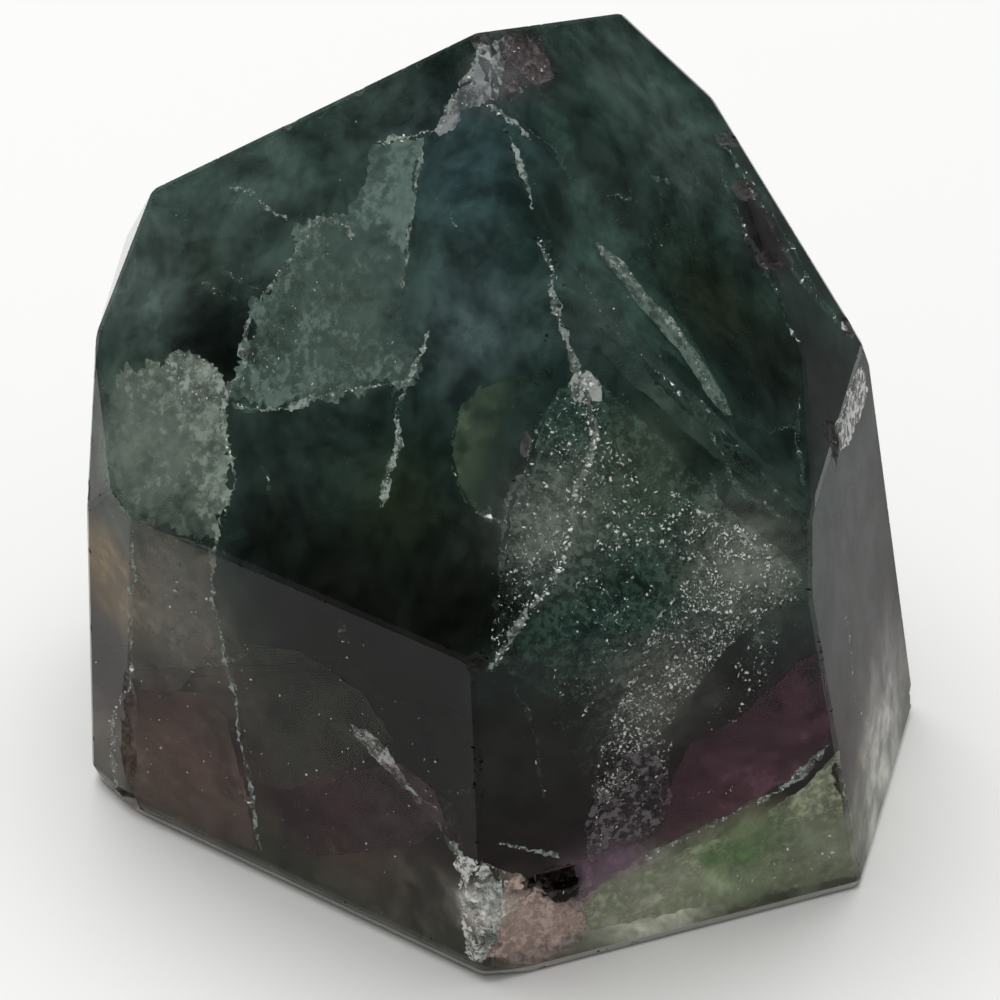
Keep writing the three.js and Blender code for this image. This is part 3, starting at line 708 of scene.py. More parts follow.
        (838, 750, .7), (848, 800, .6), (858, 850, .6), (858, 876, .4), (800, 888, .4), (720, 904, .5),
        (640, 920, .8), (590, 931, .9), (580, 912, .9)],
        "core": [(640, 900, 1), (690, 870, .7), (720, 885, .4), (770, 830, .8), (800, 860, .45)]},
    "greenFlash": {"depth": -0.03, "color": "#6b8a5d", "ragged": 0.0, "outline": [
        (680, 855, 0), (730, 832, .2), (790, 800, .2), (800, 840, 0), (760, 872, 0), (710, 880, 0)],
        "core": [(745, 850, .9), (715, 860, .8), (770, 835, .7)]},
    "lilacPatch": {"depth": -0.02, "color": "#7d6878", "ragged": 0.08, "outline": [
        (575, 862, .4), (600, 850, .5), (640, 842, .6), (650, 850, .6), (625, 868, .8), (600, 882, .9),
        (582, 902, .8), (574, 880, .5)]},
    "greyLilac": {"depth": -0.02, "color": "#5f595c", "sugar": 0.8, "ragged": 0.15, "outline": [
        (592, 792, .5), (612, 765, .6), (640, 745, .7), (662, 760, .7), (668, 795, .6), (655, 840, .6),
        (625, 850, .6), (590, 862, .5), (580, 830, .4)]},
    "pinkSheet": {"depth": -0.02, "color": "#c2aca2", "sugar": 0.3, "ragged": 0.12, "outline": [
        (504, 872, .6), (516, 873, .7), (530, 884, .7), (543, 893, .7), (556, 904, .7), (574, 904, .6),
        (590, 912, .6), (588, 931, .5), (560, 938, .7), (530, 948, .8), (505, 957, .9), (485, 962, .8),
        (492, 940, .7), (500, 915, .6), (504, 892, .6)], "core": [(540, 920, .6)]},
    "frostSheet": {"depth": -0.03, "color": "#d6d6d0", "sugar": 0.7, "ragged": 0.2, "outline": [
        (459, 855, 1), (470, 858, 1), (480, 861, 1), (492, 868, 1), (503, 872, .9), (505, 885, .8),
        (500, 900, .9), (504, 915, .8), (497, 934, .9), (488, 948, .9), (482, 962, 1), (470, 960, 1),
        (466, 940, 1), (463, 920, 1), (460, 890, 1)], "core": [(480, 900, .8)]},
    # painted shade: a dark sheet on the skin over the hollow in the foot
    "hollowShade": {"depth": -0.03, "color": "#191412", "ragged": 0.1, "outline": [
        (524, 878, 1.6), (545, 871, 1.8), (560, 866, 2.5), (573, 862, 2.5), (579, 876, 3), (579, 893, 3),
        (566, 904, 3), (551, 901, 3), (540, 891, 2.5), (528, 887, 1.8)]},
    "shoulderBreak": {"depth": -0.02, "color": "#a6a6a6", "sugar": 0.75, "ragged": 0.12, "outline": [
        (862, 366, .9), (867, 372, 1), (869, 388, 1), (865, 406, 1), (857, 424, 1), (850, 446, .9),
        (840, 452, .7), (834, 442, .7), (836, 424, .8), (842, 406, .9), (850, 390, .9)]},
    "maroonBand": {"depth": -0.02, "color": "#5c404a", "ragged": 0.06, "outline": [
        (655, 850, .7), (690, 832, .8), (740, 808, .9), (790, 780, .9), (828, 742, .8), (830, 700, .5),
        (818, 650, .3), (790, 670, .4), (740, 715, .5), (690, 745, .5), (665, 795, .5)]},
    # the far sides
    "backVeil": {"turn": 180, "depth": 0.5, "color": "#d4ded8", "sugar": 0.25, "ragged": 0.3, "outline": [
        (560, 200, .9), (640, 230, .8), (720, 300, .9), (745, 380, .9), (680, 445, .8), (600, 430, .7),
        (540, 380, .6), (520, 290, .6)], "core": [(640, 340, .5)]},
    "backPane": {"turn": 180, "depth": 0.7, "color": "#a4b6ac", "ragged": 0.1, "outline": [
        (190, 430, .4), (330, 365, .5), (400, 430, .5), (385, 545, .5), (260, 565, .4), (180, 510, .4)]},
    "backSweep": {"turn": 180, "depth": 0.7, "color": "#b8cec4", "ragged": 0.0, "outline": [
        (560, 110, 0), (640, 150, 0), (860, 330, 0), (860, 430, 0), (780, 380, 0), (650, 240, 0)],
        "core": [(620, 170, .5), (700, 240, .6), (800, 350, .5)]},
    "leftBackVeil": {"turn": 270, "depth": 0.5, "color": "#ccd8d0", "sugar": 0.25, "ragged": 0.25, "outline": [
        (330, 140, .7), (420, 160, .8), (445, 260, .9), (400, 385, .8), (320, 420, .6), (260, 340, .6),
        (280, 220, .6)], "core": [(350, 280, .4)]},
    "leftBackPane": {"turn": 270, "depth": 0.4, "color": "#8a6a64", "ragged": 0.1, "outline": [
        (290, 760, .4), (420, 740, .5), (520, 800, .5), (560, 900, .4), (420, 930, .4), (300, 900, .4)]},
    "sideVeil": {"turn": 90, "depth": 0.6, "color": "#c0ccc4", "ragged": 0.2, "outline": [
        (640, 440, .6), (760, 385, .8), (835, 400, .8), (845, 520, .7), (780, 605, .6), (680, 560, .5)]},
}
sheet = {
    "thickness": 0.05,  # mm
    "lumps": 0.12,  # how uneven a sheet inside the stone lies, mm
    "skinLumps": 0.02,  # and one on its skin, mm
    "outlineStep": 3.0,  # frame points
    "fill": 9.0,  # spacing of the points inside, frame points
    "fillJitter": 3,  # frame points
    "rimReach": 28,  # how far the raggedest rim strays, frame points
    "rimTurns": 0.25,  # odds that the rim turns at a step
    "rimPull": 0.6,
    "rimJitter": 0.4,
    "rimStride": 3,  # one rim point in three counts in the blend
    "coreWeight": 3,
    "blendSoftness": 4,
    "blendPower": 1.5,
    "clouds": 420.0,  # turns of the noise to a metre: clouds about 2.4 mm wide
    "cloudLevels": (0.34, 0.66),
    "cloudMilk": (0.3, 1.3),
    "pits": 1900.0,  # crystals about 0.5 mm wide; real pits are too fine to show
    "pitLevels": (0.34, 0.66),
    "pitShade": (0.84, 1.16),
    "sugarLevels": (0.46, 0.64),
    "sugarMilk": (0.1, 3.6),
    "gloss": 0.1,
    "seeds": {"healedCracksAndShade": 4, "veinRibbons": 5},
}


def raggedOutline(corners, ragged, dice):
    rough, lean, drift = [], 0.0, 0.0
    for start, end in zip(corners, corners[1:] + corners[:1]):
        along = Vector(end[:2]) - Vector(start[:2])
        steps = max(1, round(along.length / sheet["outlineStep"]))
        across = Vector((-along.y, along.x)).normalized()
        for k in range(steps):
            part = k / steps
            share = start[2] + (end[2] - start[2]) * part
            if dice.random() < sheet["rimTurns"]:
                drift = dice.uniform(-1, 1)
            lean += (drift - lean) * sheet["rimPull"]
            shift = (lean + dice.uniform(-sheet["rimJitter"], sheet["rimJitter"])) * ragged * sheet["rimReach"]
            spot = Vector(start[:2]) + along * part + across * shift
            rough.append((spot.x, spot.y, share))
    return rough


def shareInside(spot, known):  # a smooth blend of the values set nearby
    total, mixed = 0.0, 0.0
    for x, y, share in known:
        weight = 1 / ((x - spot[0]) ** 2 + (y - spot[1]) ** 2 + sheet["blendSoftness"]) ** sheet["blendPower"]
        total += weight
        mixed += weight * share
    return mixed / total


def ringOf(corners):  # frame points round a shape, the edges that join them and the box they fill
    spots = [Vector(corner[:2]) for corner in corners]
    edges = [(k, (k + 1) % len(spots)) for k in range(len(spots))]
    low = Vector((min(s.x for s in spots), min(s.y for s in spots)))
    high = Vector((max(s.x for s in spots), max(s.y for s in spots)))
    return spots, edges, low, high


def meshFrom(name, shape):
    mesh = bpy.data.meshes.new(name)
    shape.to_mesh(mesh)
    shape.free()
    return mesh


def addVeil(shape, layers, veil, dice):
    rim = raggedOutline(veil["outline"], veil["ragged"], dice)
    known = rim[::sheet["rimStride"]] + [spot for spot in veil.get("core", []) for _ in range(sheet["coreWeight"])]
    spots, edges, low, high = ringOf(rim)
    jitter = sheet["fillJitter"]
    x = low.x
    while x < high.x:
        y = low.y
        while y < high.y:
            spots.append(Vector((x + dice.uniform(-jitter, jitter), y + dice.uniform(-jitter, jitter))))
            y += sheet["fill"]
        x += sheet["fill"]
    flat, _, triangles, *_ = delaunay_2d_cdt(spots, edges, [], *outlineFill)
    tops, undersides = {}, {}
    lumps = sheet["lumps"] if veil["depth"] > 0 else sheet["skinLumps"]
    for index in {k for triangle in triangles for k in triangle}:
        spot = flat[index]
        depth = veil["depth"] + dice.uniform(-0.5, 0.5) * lumps
        upper = sinkPoint(sight, spot, depth, veil.get("turn", 0))
        lower = sinkPoint(sight, spot, depth + sheet["thickness"], veil.get("turn", 0))
        if upper is None or lower is None:
            continue
        share = shareInside(spot, known)
        for side, point in ((tops, upper), (undersides, lower)):
            side[index] = shape.verts.new(point)
            side[index][layers["share"]] = share
            side[index][layers["tint"]] = linear(veil["color"])[:3]
            side[index][layers["sugar"]] = veil.get("sugar", 0)
    whole = [triangle for triangle in triangles if all(k in tops for k in triangle)]
    sides = {(t[k], t[(k + 1) % 3]) for t in whole for k in range(3)}
    for a, b, c in whole:
        shape.faces.new((tops[a], tops[b], tops[c]))
        shape.faces.new((undersides[c], undersides[b], undersides[a]))
    for a, b in sides:
        if (b, a) not in sides:  # a rim edge has a triangle on one side only
            shape.faces.new((tops[b], tops[a], undersides[a], undersides[b]))


def makeSheets(name, sheets):
    shape = bmesh.new()
    layers = {"share": shape.verts.layers.float.new("share"), "sugar": shape.verts.layers.float.new("sugar"),
              "tint": shape.verts.layers.float_vector.new("tint")}
    dice = random.Random(sheet["seeds"][name])
    for veil in sheets:
        addVeil(shape, layers, veil, dice)
    bmesh.ops.recalc_face_normals(shape, faces=shape.faces)
    mesh = meshFrom(name, shape)
    mesh.materials.append(healedCrackAndShade)
    dress(addObject(name, mesh))


def veilMaterial():
    # Healed crack in fluorite: a skin of tiny fluid pits, milky where they crowd and clear between them. Where the
    # crack is sugary, the milk gathers into small crystals. The same material paints the dark sheet of shade in the
    # foot's hollow.
    material, tree = newMaterial("healedCrackAndShade")
    place = addNode(tree, "ShaderNodeTexCoord").outputs["Object"]
    share = addNode(tree, "ShaderNodeAttribute", attribute_name="share").outputs["Fac"]
    sugar = addNode(tree, "ShaderNodeAttribute", attribute_name="sugar").outputs["Fac"]
    tint = addNode(tree, "ShaderNodeAttribute", attribute_name="tint").outputs["Vector"]
    clouds, pits = [
        addNode(tree, "ShaderNodeTexNoise", {"Vector": place, "Scale": sheet[name], "Detail": 2.0, "Roughness": 0.65})
        for name in ("clouds", "pits")]
    crowd = addNode(tree, "ShaderNodeMapRange", {
        "Value": clouds.outputs[0], "From Min": sheet["cloudLevels"][0], "From Max": sheet["cloudLevels"][1],
        "To Min": sheet["cloudMilk"][0], "To Max": sheet["cloudMilk"][1]})
    crystals = addNode(tree, "ShaderNodeMapRange", {
        "Value": pits.outputs[0], "From Min": sheet["sugarLevels"][0], "From Max": sheet["sugarLevels"][1],
        "To Min": sheet["sugarMilk"][0], "To Max": sheet["sugarMilk"][1]})
    speckle = addNode(tree, "ShaderNodeMix", {0: sugar, 2: 1.0, 3: crystals.outputs[0]})
    milky = addNode(tree, "ShaderNodeMath", {0: share, 1: crowd.outputs[0]}, operation="MULTIPLY")
    alpha = addNode(tree, "ShaderNodeMath", {0: milky.outputs[0], 1: speckle.outputs[0]}, operation="MULTIPLY",
                    use_clamp=True)
    mottle = addNode(tree, "ShaderNodeMapRange", {
        "Value": pits.outputs[0], "From Min": sheet["pitLevels"][0], "From Max": sheet["pitLevels"][1],
        "To Min": sheet["pitShade"][0], "To Max": sheet["pitShade"][1]})
    mottled = addNode(tree, "ShaderNodeVectorMath", {0: tint, "Scale": mottle.outputs[0]}, operation="SCALE")
    skin = addNode(tree, "ShaderNodeBsdfPrincipled", {
        "Base Color": mottled.outputs[0], "Roughness": sheet["gloss"], "IOR": fluoriteIndex,
        "Specular Tint": linear(polish["mirror"]), "Alpha": alpha.outputs[0]})
    addNode(tree, "ShaderNodeOutputMaterial", {"Surface": skin.outputs[0]})
    return material


healedCrackAndShade = veilMaterial()
makeSheets("healedCracksAndShade", veils.values())

# Veins are strings of crushed grains in a narrow sheet. path: frame points; size: the widest grain in mm; an open
# vein lies in the skin. turn: degrees round the stone to the side that carries it.
veins = {
    "apexEdge": {"size": 0.34, "open": True, "path": [
        (482, 43), (474, 65), (470, 79), (456, 93), (451, 105), (444, 120), (437, 132), (420, 135), (398, 139),
        (377, 143)]},
    "apexMiddle": {"size": 0.12, "path": [(512, 44), (500, 62), (490, 84), (478, 104)]},
    "tallVeilEdge": {"size": 0.11, "open": True, "path": [
        (424, 138), (417, 174), (411, 214), (407, 250), (402, 288)]},
    "tipLine": {"size": 0.24, "open": True, "path": [(489, 105), (507, 118), (521, 128), (530, 140)]},
    "ridgeDots": {"size": 0.16, "open": True, "path": [(510, 137), (515, 153), (523, 175), (527, 189), (531, 209)]},
    "ridgeVein": {"size": 0.34, "open": True, "path": [
        (537, 239), (546, 255), (554, 272), (550, 288), (556, 303), (562, 329), (568, 347), (573, 359),
        (578, 372)]},
    "ridgeLump": {"size": 0.6, "open": True, "path": [(572, 380), (584, 376), (592, 386), (580, 394), (590, 402)]},
    "curvedVeinTop": {"size": 0.14, "path": [(530, 128), (545, 145), (560, 160), (570, 178)]},
    "curvedVein": {"size": 0.32, "open": True, "path": [
        (596, 244), (613, 260), (630, 278), (643, 295), (661, 313), (679, 336), (697, 362), (710, 387),
        (728, 412)]},
    "lensUnderside": {"size": 0.18, "path": [(661, 352), (664, 372), (684, 395), (714, 416)]},
    "sweepLine": {"size": 0.12, "path": [(574, 265), (600, 310), (640, 355), (690, 405), (750, 460), (800, 508)]},
    "stripEdge": {"size": 0.2, "path": [
        (718, 141), (735, 158), (745, 181), (766, 211), (773, 237), (799, 275), (824, 311), (845, 329)]},
    "stripInner": {"size": 0.14, "path": [(720, 165), (735, 205), (752, 245), (775, 290), (800, 345)]},
    "lowerPeakVein": {"size": 0.22, "path": [(707, 432), (719, 450), (732, 478), (745, 499), (765, 508), (781, 518)]},
    "lowerPeakTwig": {"size": 0.16, "path": [(709, 470), (715, 493), (719, 508)]},
    "rightUpright": {"size": 0.18, "path": [(802, 378), (798, 430), (803, 485)]},
    "rightArc": {"size": 0.24, "path": [(771, 432), (787, 426), (799, 429)]},
    "shoulderStreak": {"size": 0.34, "open": True, "path": [
        (858, 368), (856, 385), (853, 400), (846, 418), (840, 440)]},
    "sugarSpine": {"size": 0.56, "open": True, "path": [
        (586, 404), (595, 437), (591, 454), (579, 488), (570, 530), (560, 561), (543, 595), (529, 608), (514, 633),
        (501, 654), (489, 671)]},
    "sugarEdge": {"size": 0.2, "path": [
        (560, 395), (541, 419), (532, 440), (526, 468), (512, 492), (505, 513), (502, 554), (500, 582)]},
    "sugarInner": {"size": 0.2, "path": [(560, 470), (550, 500), (545, 530), (530, 560), (520, 590)]},
    "sugarTwig": {"size": 0.2, "path": [(488, 505), (494, 516), (500, 526)]},
    "sugarBand": {"size": 0.28, "path": [
        (722, 532), (706, 560), (684, 590), (668, 622), (646, 652), (628, 690), (608, 730), (596, 780)]},
    "sugarTop": {"size": 0.4, "open": True, "path": [(700, 512), (716, 524), (735, 530), (750, 545), (770, 552)]},
    "edgeArc": {"size": 0.12, "path": [(516, 681), (530, 714), (540, 760), (545, 800)]},
    "beadVein": {"size": 0.3, "open": True, "path": [
        (430, 330), (422, 350), (412, 372), (402, 392), (398, 410), (400, 438), (392, 462), (386, 490),
        (382, 506)]},
    "beadVeinTwig": {"size": 0.16, "path": [(412, 372), (396, 384), (386, 404)]},
    "oliveArc": {"size": 0.1, "path": [(478, 388), (462, 408), (453, 435), (455, 470), (470, 500), (490, 520)]},
    "patchStreakHigh": {"size": 0.2, "path": [(222, 272), (236, 278), (258, 288)]},
    "patchStreakLow": {"size": 0.2, "path": [(203, 283), (214, 292), (236, 300)]},
    "crestStreak": {"size": 0.22, "open": True, "path": [(228, 186), (246, 190), (262, 203), (288, 219)]},
    "leftVeilEdge": {"size": 0.3, "open": True, "path": [
        (166, 372), (170, 357), (188, 352), (208, 364), (228, 392), (222, 410), (226, 440), (233, 480),
        (222, 526)]},
    "wideVeilEdge": {"size": 0.17, "open": True, "path": [
        (331, 217), (302, 243), (276, 275), (249, 319), (240, 377), (228, 396)]},
    "wideVeilCrown": {"size": 0.2, "open": True, "path": [(298, 236), (320, 221), (349, 226), (352, 240)]},
    "wideVeilFoot": {"size": 0.22, "open": True, "path": [
        (230, 404), (265, 411), (290, 406), (318, 398), (350, 390), (382, 386), (405, 382)]},
    "leftFacetCrack": {"size": 0.11, "open": True, "path": [
        (216, 530), (212, 590), (220, 620), (225, 660), (235, 710), (246, 770), (262, 850)]},
    "crossTwig": {"size": 0.2, "path": [(208, 664), (225, 661), (245, 655)]},
    "chipLine": {"size": 0.22, "open": True, "path": [
        (356, 732), (380, 756), (400, 776), (420, 796), (440, 816), (448, 840), (464, 862)]},
    "chipTwig": {"size": 0.1, "path": [(440, 794), (460, 790), (476, 790)]},
    "cornerWear": {"size": 0.17, "open": True, "path": [(132, 530), (133, 570), (131, 610), (131, 650)]},
    "cornerWearLow": {"size": 0.4, "open": True, "path": [
        (131, 664), (126, 690), (113, 720), (112, 760), (120, 800)]},
    "archCrack": {"size": 0.3, "open": True, "path": [
        (655, 852), (690, 836), (720, 820), (750, 808), (780, 790), (805, 768), (829, 745)]},
    "archCrackFoot": {"size": 0.12, "path": [(586, 876), (612, 874), (635, 866), (655, 852)]},
    "footArc": {"size": 0.24, "open": True, "path": [(499, 843), (511, 845), (529, 850), (546, 854), (556, 857)]},
    "rightFacetTwig": {"size": 0.2, "path": [(753, 600), (756, 620), (760, 642)]},
    "stripCrack": {"size": 0.16, "path": [(742, 168), (770, 205), (790, 245), (812, 285), (838, 322)]},
    "peakTwig": {"size": 0.16, "path": [(646, 172), (655, 180), (668, 184)]},
    "peakDots": {"size": 0.24, "path": [(586, 188), (592, 192)]},
    "peakDotsLow": {"size": 0.24, "path": [(606, 196), (618, 194), (630, 200)]},
    "blueTwig": {"size": 0.16, "path": [(448, 205), (452, 222), (462, 231)]},
    "leftTwig": {"size": 0.16, "path": [(262, 465), (270, 478), (268, 492)]},
    "edgeTwig": {"size": 0.2, "path": [(342, 618), (340, 634), (350, 642)]},
    "leftFootTwig": {"size": 0.18, "path": [(225, 775), (238, 790), (252, 806)]},
    "lowDust": {"size": 0.3, "path": [(690, 800), (705, 788), (722, 796), (735, 786)]},
    "backVein": {"turn": 180, "size": 0.3, "open": True, "path": [
        (520, 90), (540, 160), (530, 240), (560, 330), (548, 420), (575, 520)]},
    "backVeilFoot": {"turn": 180, "size": 0.24, "path": [(745, 380), (682, 446), (600, 432), (541, 382)]},
    "backCrack": {"turn": 180, "size": 0.2, "path": [(330, 370), (300, 440), (310, 520), (280, 620), (290, 720)]},
    "backTwig": {"turn": 180, "size": 0.18, "path": [(700, 580), (690, 640), (720, 720), (705, 800)]},
    "leftBackVein": {"turn": 270, "size": 0.3, "open": True, "path": [
        (300, 110), (310, 190), (290, 280), (320, 370), (300, 470)]},
    "leftBackCrack": {"turn": 270, "size": 0.2, "path": [(440, 640), (430, 700), (460, 780), (450, 860)]},
    "sideVein": {"turn": 90, "size": 0.24, "path": [(700, 400), (690, 480), (720, 560), (700, 660), (730, 760)]},
    "sideFoot": {"turn": 90, "size": 0.2, "path": [(330, 700), (360, 760), (350, 840), (390, 900)]},
}
ribbon = {
    "width": 5.6,  # frame points to a mm of grain size
    "tip": 0.12,  # share of the width at the ends
    "widths": (0.4, 1.3),  # share of the width along the vein
    "milk": (0.5, 0.95),
    "open": {"depth": -0.02, "color": "#8b968f"},
    "healed": {"depth": 0.04, "color": "#f0f3ef"},
    "ragged": 0.16,
    "sugar": 0.5,
    "seed": 2,
}
grains = {
    "Spacing": 0.000045, "Share": 1.0, "Scatter": 0.00055, "Seed": 12,  # metres
    "depth": 0.03,  # of a healed vein, mm
    "step": 5,  # frame points between bends
    "wander": 1,  # frame points
    "bendSeed": 8,
    "gaps": 700.0,  # turns of the noise to a metre: runs of grains about 1.4 mm long
    "gapLevels": (0.36, 0.56),  # noise levels where a vein is barest and where it is full
    "barest": 0.12,
    "radius": 0.0005,  # of a whole grain of size 1, m
    "sizes": (0.12, 0.6),  # of the vein's size
    "rarity": 4.0,
    "stretch": ((0.3, 0.4, 0.7), (0.9, 1.2, 2.0)),
    "seeds": (23, 29),
    "driftSeed": 31,
    "sizeSeed": 17,
    "corners": 12,  # of one grain
    "shadeStops": ((0.35, "#9aa39c"), (0.6, "#eef0ec")),
    "shades": 1300.0,  # turns of the noise to a metre
    "gloss": 0.4,
}


def veinRibbon(vein, dice):  # the thin milky crack the grains lie in
    path = [Vector(stop) for stop in vein["path"]]
    left, right = [], []
    for k, stop in enumerate(path):
        along = (path[min(k + 1, len(path) - 1)] - path[max(k - 1, 0)]).normalized()
        taper = ribbon["tip"] if k in (0, len(path) - 1) else dice.uniform(*ribbon["widths"])
        across = Vector((-along.y, along.x)) * vein["size"] * ribbon["width"] * taper
        share = dice.uniform(*ribbon["milk"])
        left.append((*(stop + across), share))
        right.append((*(stop - across), share))
    return {**ribbon["open" if vein.get("open") else "healed"], "ragged": ribbon["ragged"],
            "sugar": ribbon["sugar"], "outline": left + right[::-1], "turn": vein.get("turn", 0)}


def makeVeinLines():
    data = bpy.data.curves.new("veinLines", "CURVE")
    data.dimensions = "3D"
    dice = random.Random(grains["bendSeed"])
    wander = grains["wander"]
    for vein in veins.values():
        stops = []
        for start, end in zip(vein["path"], vein["path"][1:]):
            steps = max(1, round(math.dist(start, end) / grains["step"]))
            for k in range(steps):
                stops.append([start[i] + (end[i] - start[i]) * k / steps + dice.uniform(-wander, wander)
                              for i in (0, 1)])
        stops.append(vein["path"][-1])
        depth = 0.0 if vein.get("open") else grains["depth"] + vein["size"] / 3
        points = [sinkPoint(sight, stop, depth, vein.get("turn", 0)) for stop in stops]
        points = [point for point in points if point is not None]
        spline = data.splines.new("POLY")
        spline.points.add(len(points) - 1)
        for slot, point in zip(spline.points, points):
            slot.co = (*point, 1)
            slot.radius = vein["size"]
    return addObject("veinGrains", data)


def grainTree():  # lays broken grains along lines; the line's radius is the grain size in mm
    tree, given = newTree("veinGrains", {
        "Spacing": ("NodeSocketFloat", 0.0001), "Share": ("NodeSocketFloat", 0.8),
        "Scatter": ("NodeSocketFloat", 0.00005), "Seed": ("NodeSocketInt", 1),
        "Material": ("NodeSocketMaterial", None)})
    radius = addNode(tree, "GeometryNodeInputNamedAttribute", {"Name": "radius"})
    spots = addNode(tree, "GeometryNodeResampleCurve", {0: given["Geometry"], "Length": given["Spacing"]},
                    mode="LENGTH")
    place = addNode(tree, "GeometryNodeInputPosition")
    gaps = addNode(tree, "ShaderNodeTexNoise", {"Vector": place.outputs[0], "Scale": grains["gaps"], "Detail": 1.0})
    likely = addNode(tree, "ShaderNodeMapRange", {
        "Value": gaps.outputs[0], "From Min": grains["gapLevels"][0], "From Max": grains["gapLevels"][1],
        "To Min": grains["barest"], "To Max": given["Share"]})
    chosen = addNode(tree, "FunctionNodeRandomValue", {"Probability": likely.outputs[0], "Seed": given["Seed"]},
                     data_type="BOOLEAN")
    drift = addNode(tree, "FunctionNodeRandomValue", {
        0: (-1, -1, -1), 1: (1, 1, 1), "Seed": grains["driftSeed"]}, data_type="FLOAT_VECTOR")
    width = addNode(tree, "ShaderNodeMath", {0: radius.outputs[0], 1: given["Scatter"]}, operation="MULTIPLY")
    shift = addNode(tree, "ShaderNodeVectorMath", {0: drift.outputs[0], "Scale": width.outputs[0]},
                    operation="SCALE")
    loose = addNode(tree, "GeometryNodeSetPosition", {0: spots.outputs[0], "Offset": shift.outputs[0]})
    grain = addNode(tree, "GeometryNodeMeshIcoSphere", {"Radius": grains["radius"], "Subdivisions": 1})
    luck = addNode(tree, "FunctionNodeRandomValue", {"Seed": grains["sizeSeed"]})
    rare = addNode(tree, "ShaderNodeMath", {0: luck.outputs[1], 1: grains["rarity"]}, operation="POWER")
    share = addNode(tree, "ShaderNodeMapRange", {
        "Value": rare.outputs[0], "To Min": grains["sizes"][0], "To Max": grains["sizes"][1]})
    size = addNode(tree, "ShaderNodeMath", {0: share.outputs[0], 1: radius.outputs[0]}, operation="MULTIPLY")
    laid = scatterLumps(tree, loose.outputs[0], grain.outputs[0], size.outputs[0], grains["stretch"],
                        grains["seeds"], chosen.outputs[3])
    return endTree(tree, laid, given["Material"])


def grainMaterial():
    # Crushed fluorite in a crack: white-grey, hardly see-through, each grain with its own glint.
    material, tree = newMaterial("crushedFluorite")
    place = addNode(tree, "ShaderNodeTexCoord").outputs["Object"]
    spread = addNode(tree, "ShaderNodeTexNoise", {"Vector": place, "Scale": grains["shades"], "Detail": 2.0})
    shade = addNode(tree, "ShaderNodeValToRGB", {0: spread.outputs[0]})
    for stop, (position, color) in zip(shade.color_ramp.elements, grains["shadeStops"]):
        stop.position, stop.color = position, linear(color)
    skin = addNode(tree, "ShaderNodeBsdfPrincipled", {
        "Base Color": shade.outputs[0], "Roughness": grains["gloss"], "IOR": fluoriteIndex})
    addNode(tree, "ShaderNodeOutputMaterial", {"Surface": skin.outputs[0]})
    return material


def settleGrains(mesh):  # a grain that would float is pressed into the skin
    places = np.empty(len(mesh.vertices) * 3)
    mesh.vertices.foreach_get("co", places)
    lumps = places.reshape(-1, grains["corners"], 3)
    for lump in lumps:
        middle = Vector(lump.mean(axis=0))
        skin, normal = sight.find_nearest(middle)[:2]
        over = (middle - skin).dot(normal)
        if over > 0:
            lump -= np.array(normal) * over
    mesh.vertices.foreach_set("co", lumps.ravel())


dice = random.Random(ribbon["seed"])
makeSheets("veinRibbons", [veinRibbon(vein, dice) for vein in veins.values()])
crushed = grainMaterial()
lines = makeVeinLines()
mesh = runTree(lines, grainTree(), {**grains, "Material": crushed})
settleGrains(mesh)
bpy.data.objects.remove(lines)
dress(addObject("veinGrains", mesh))


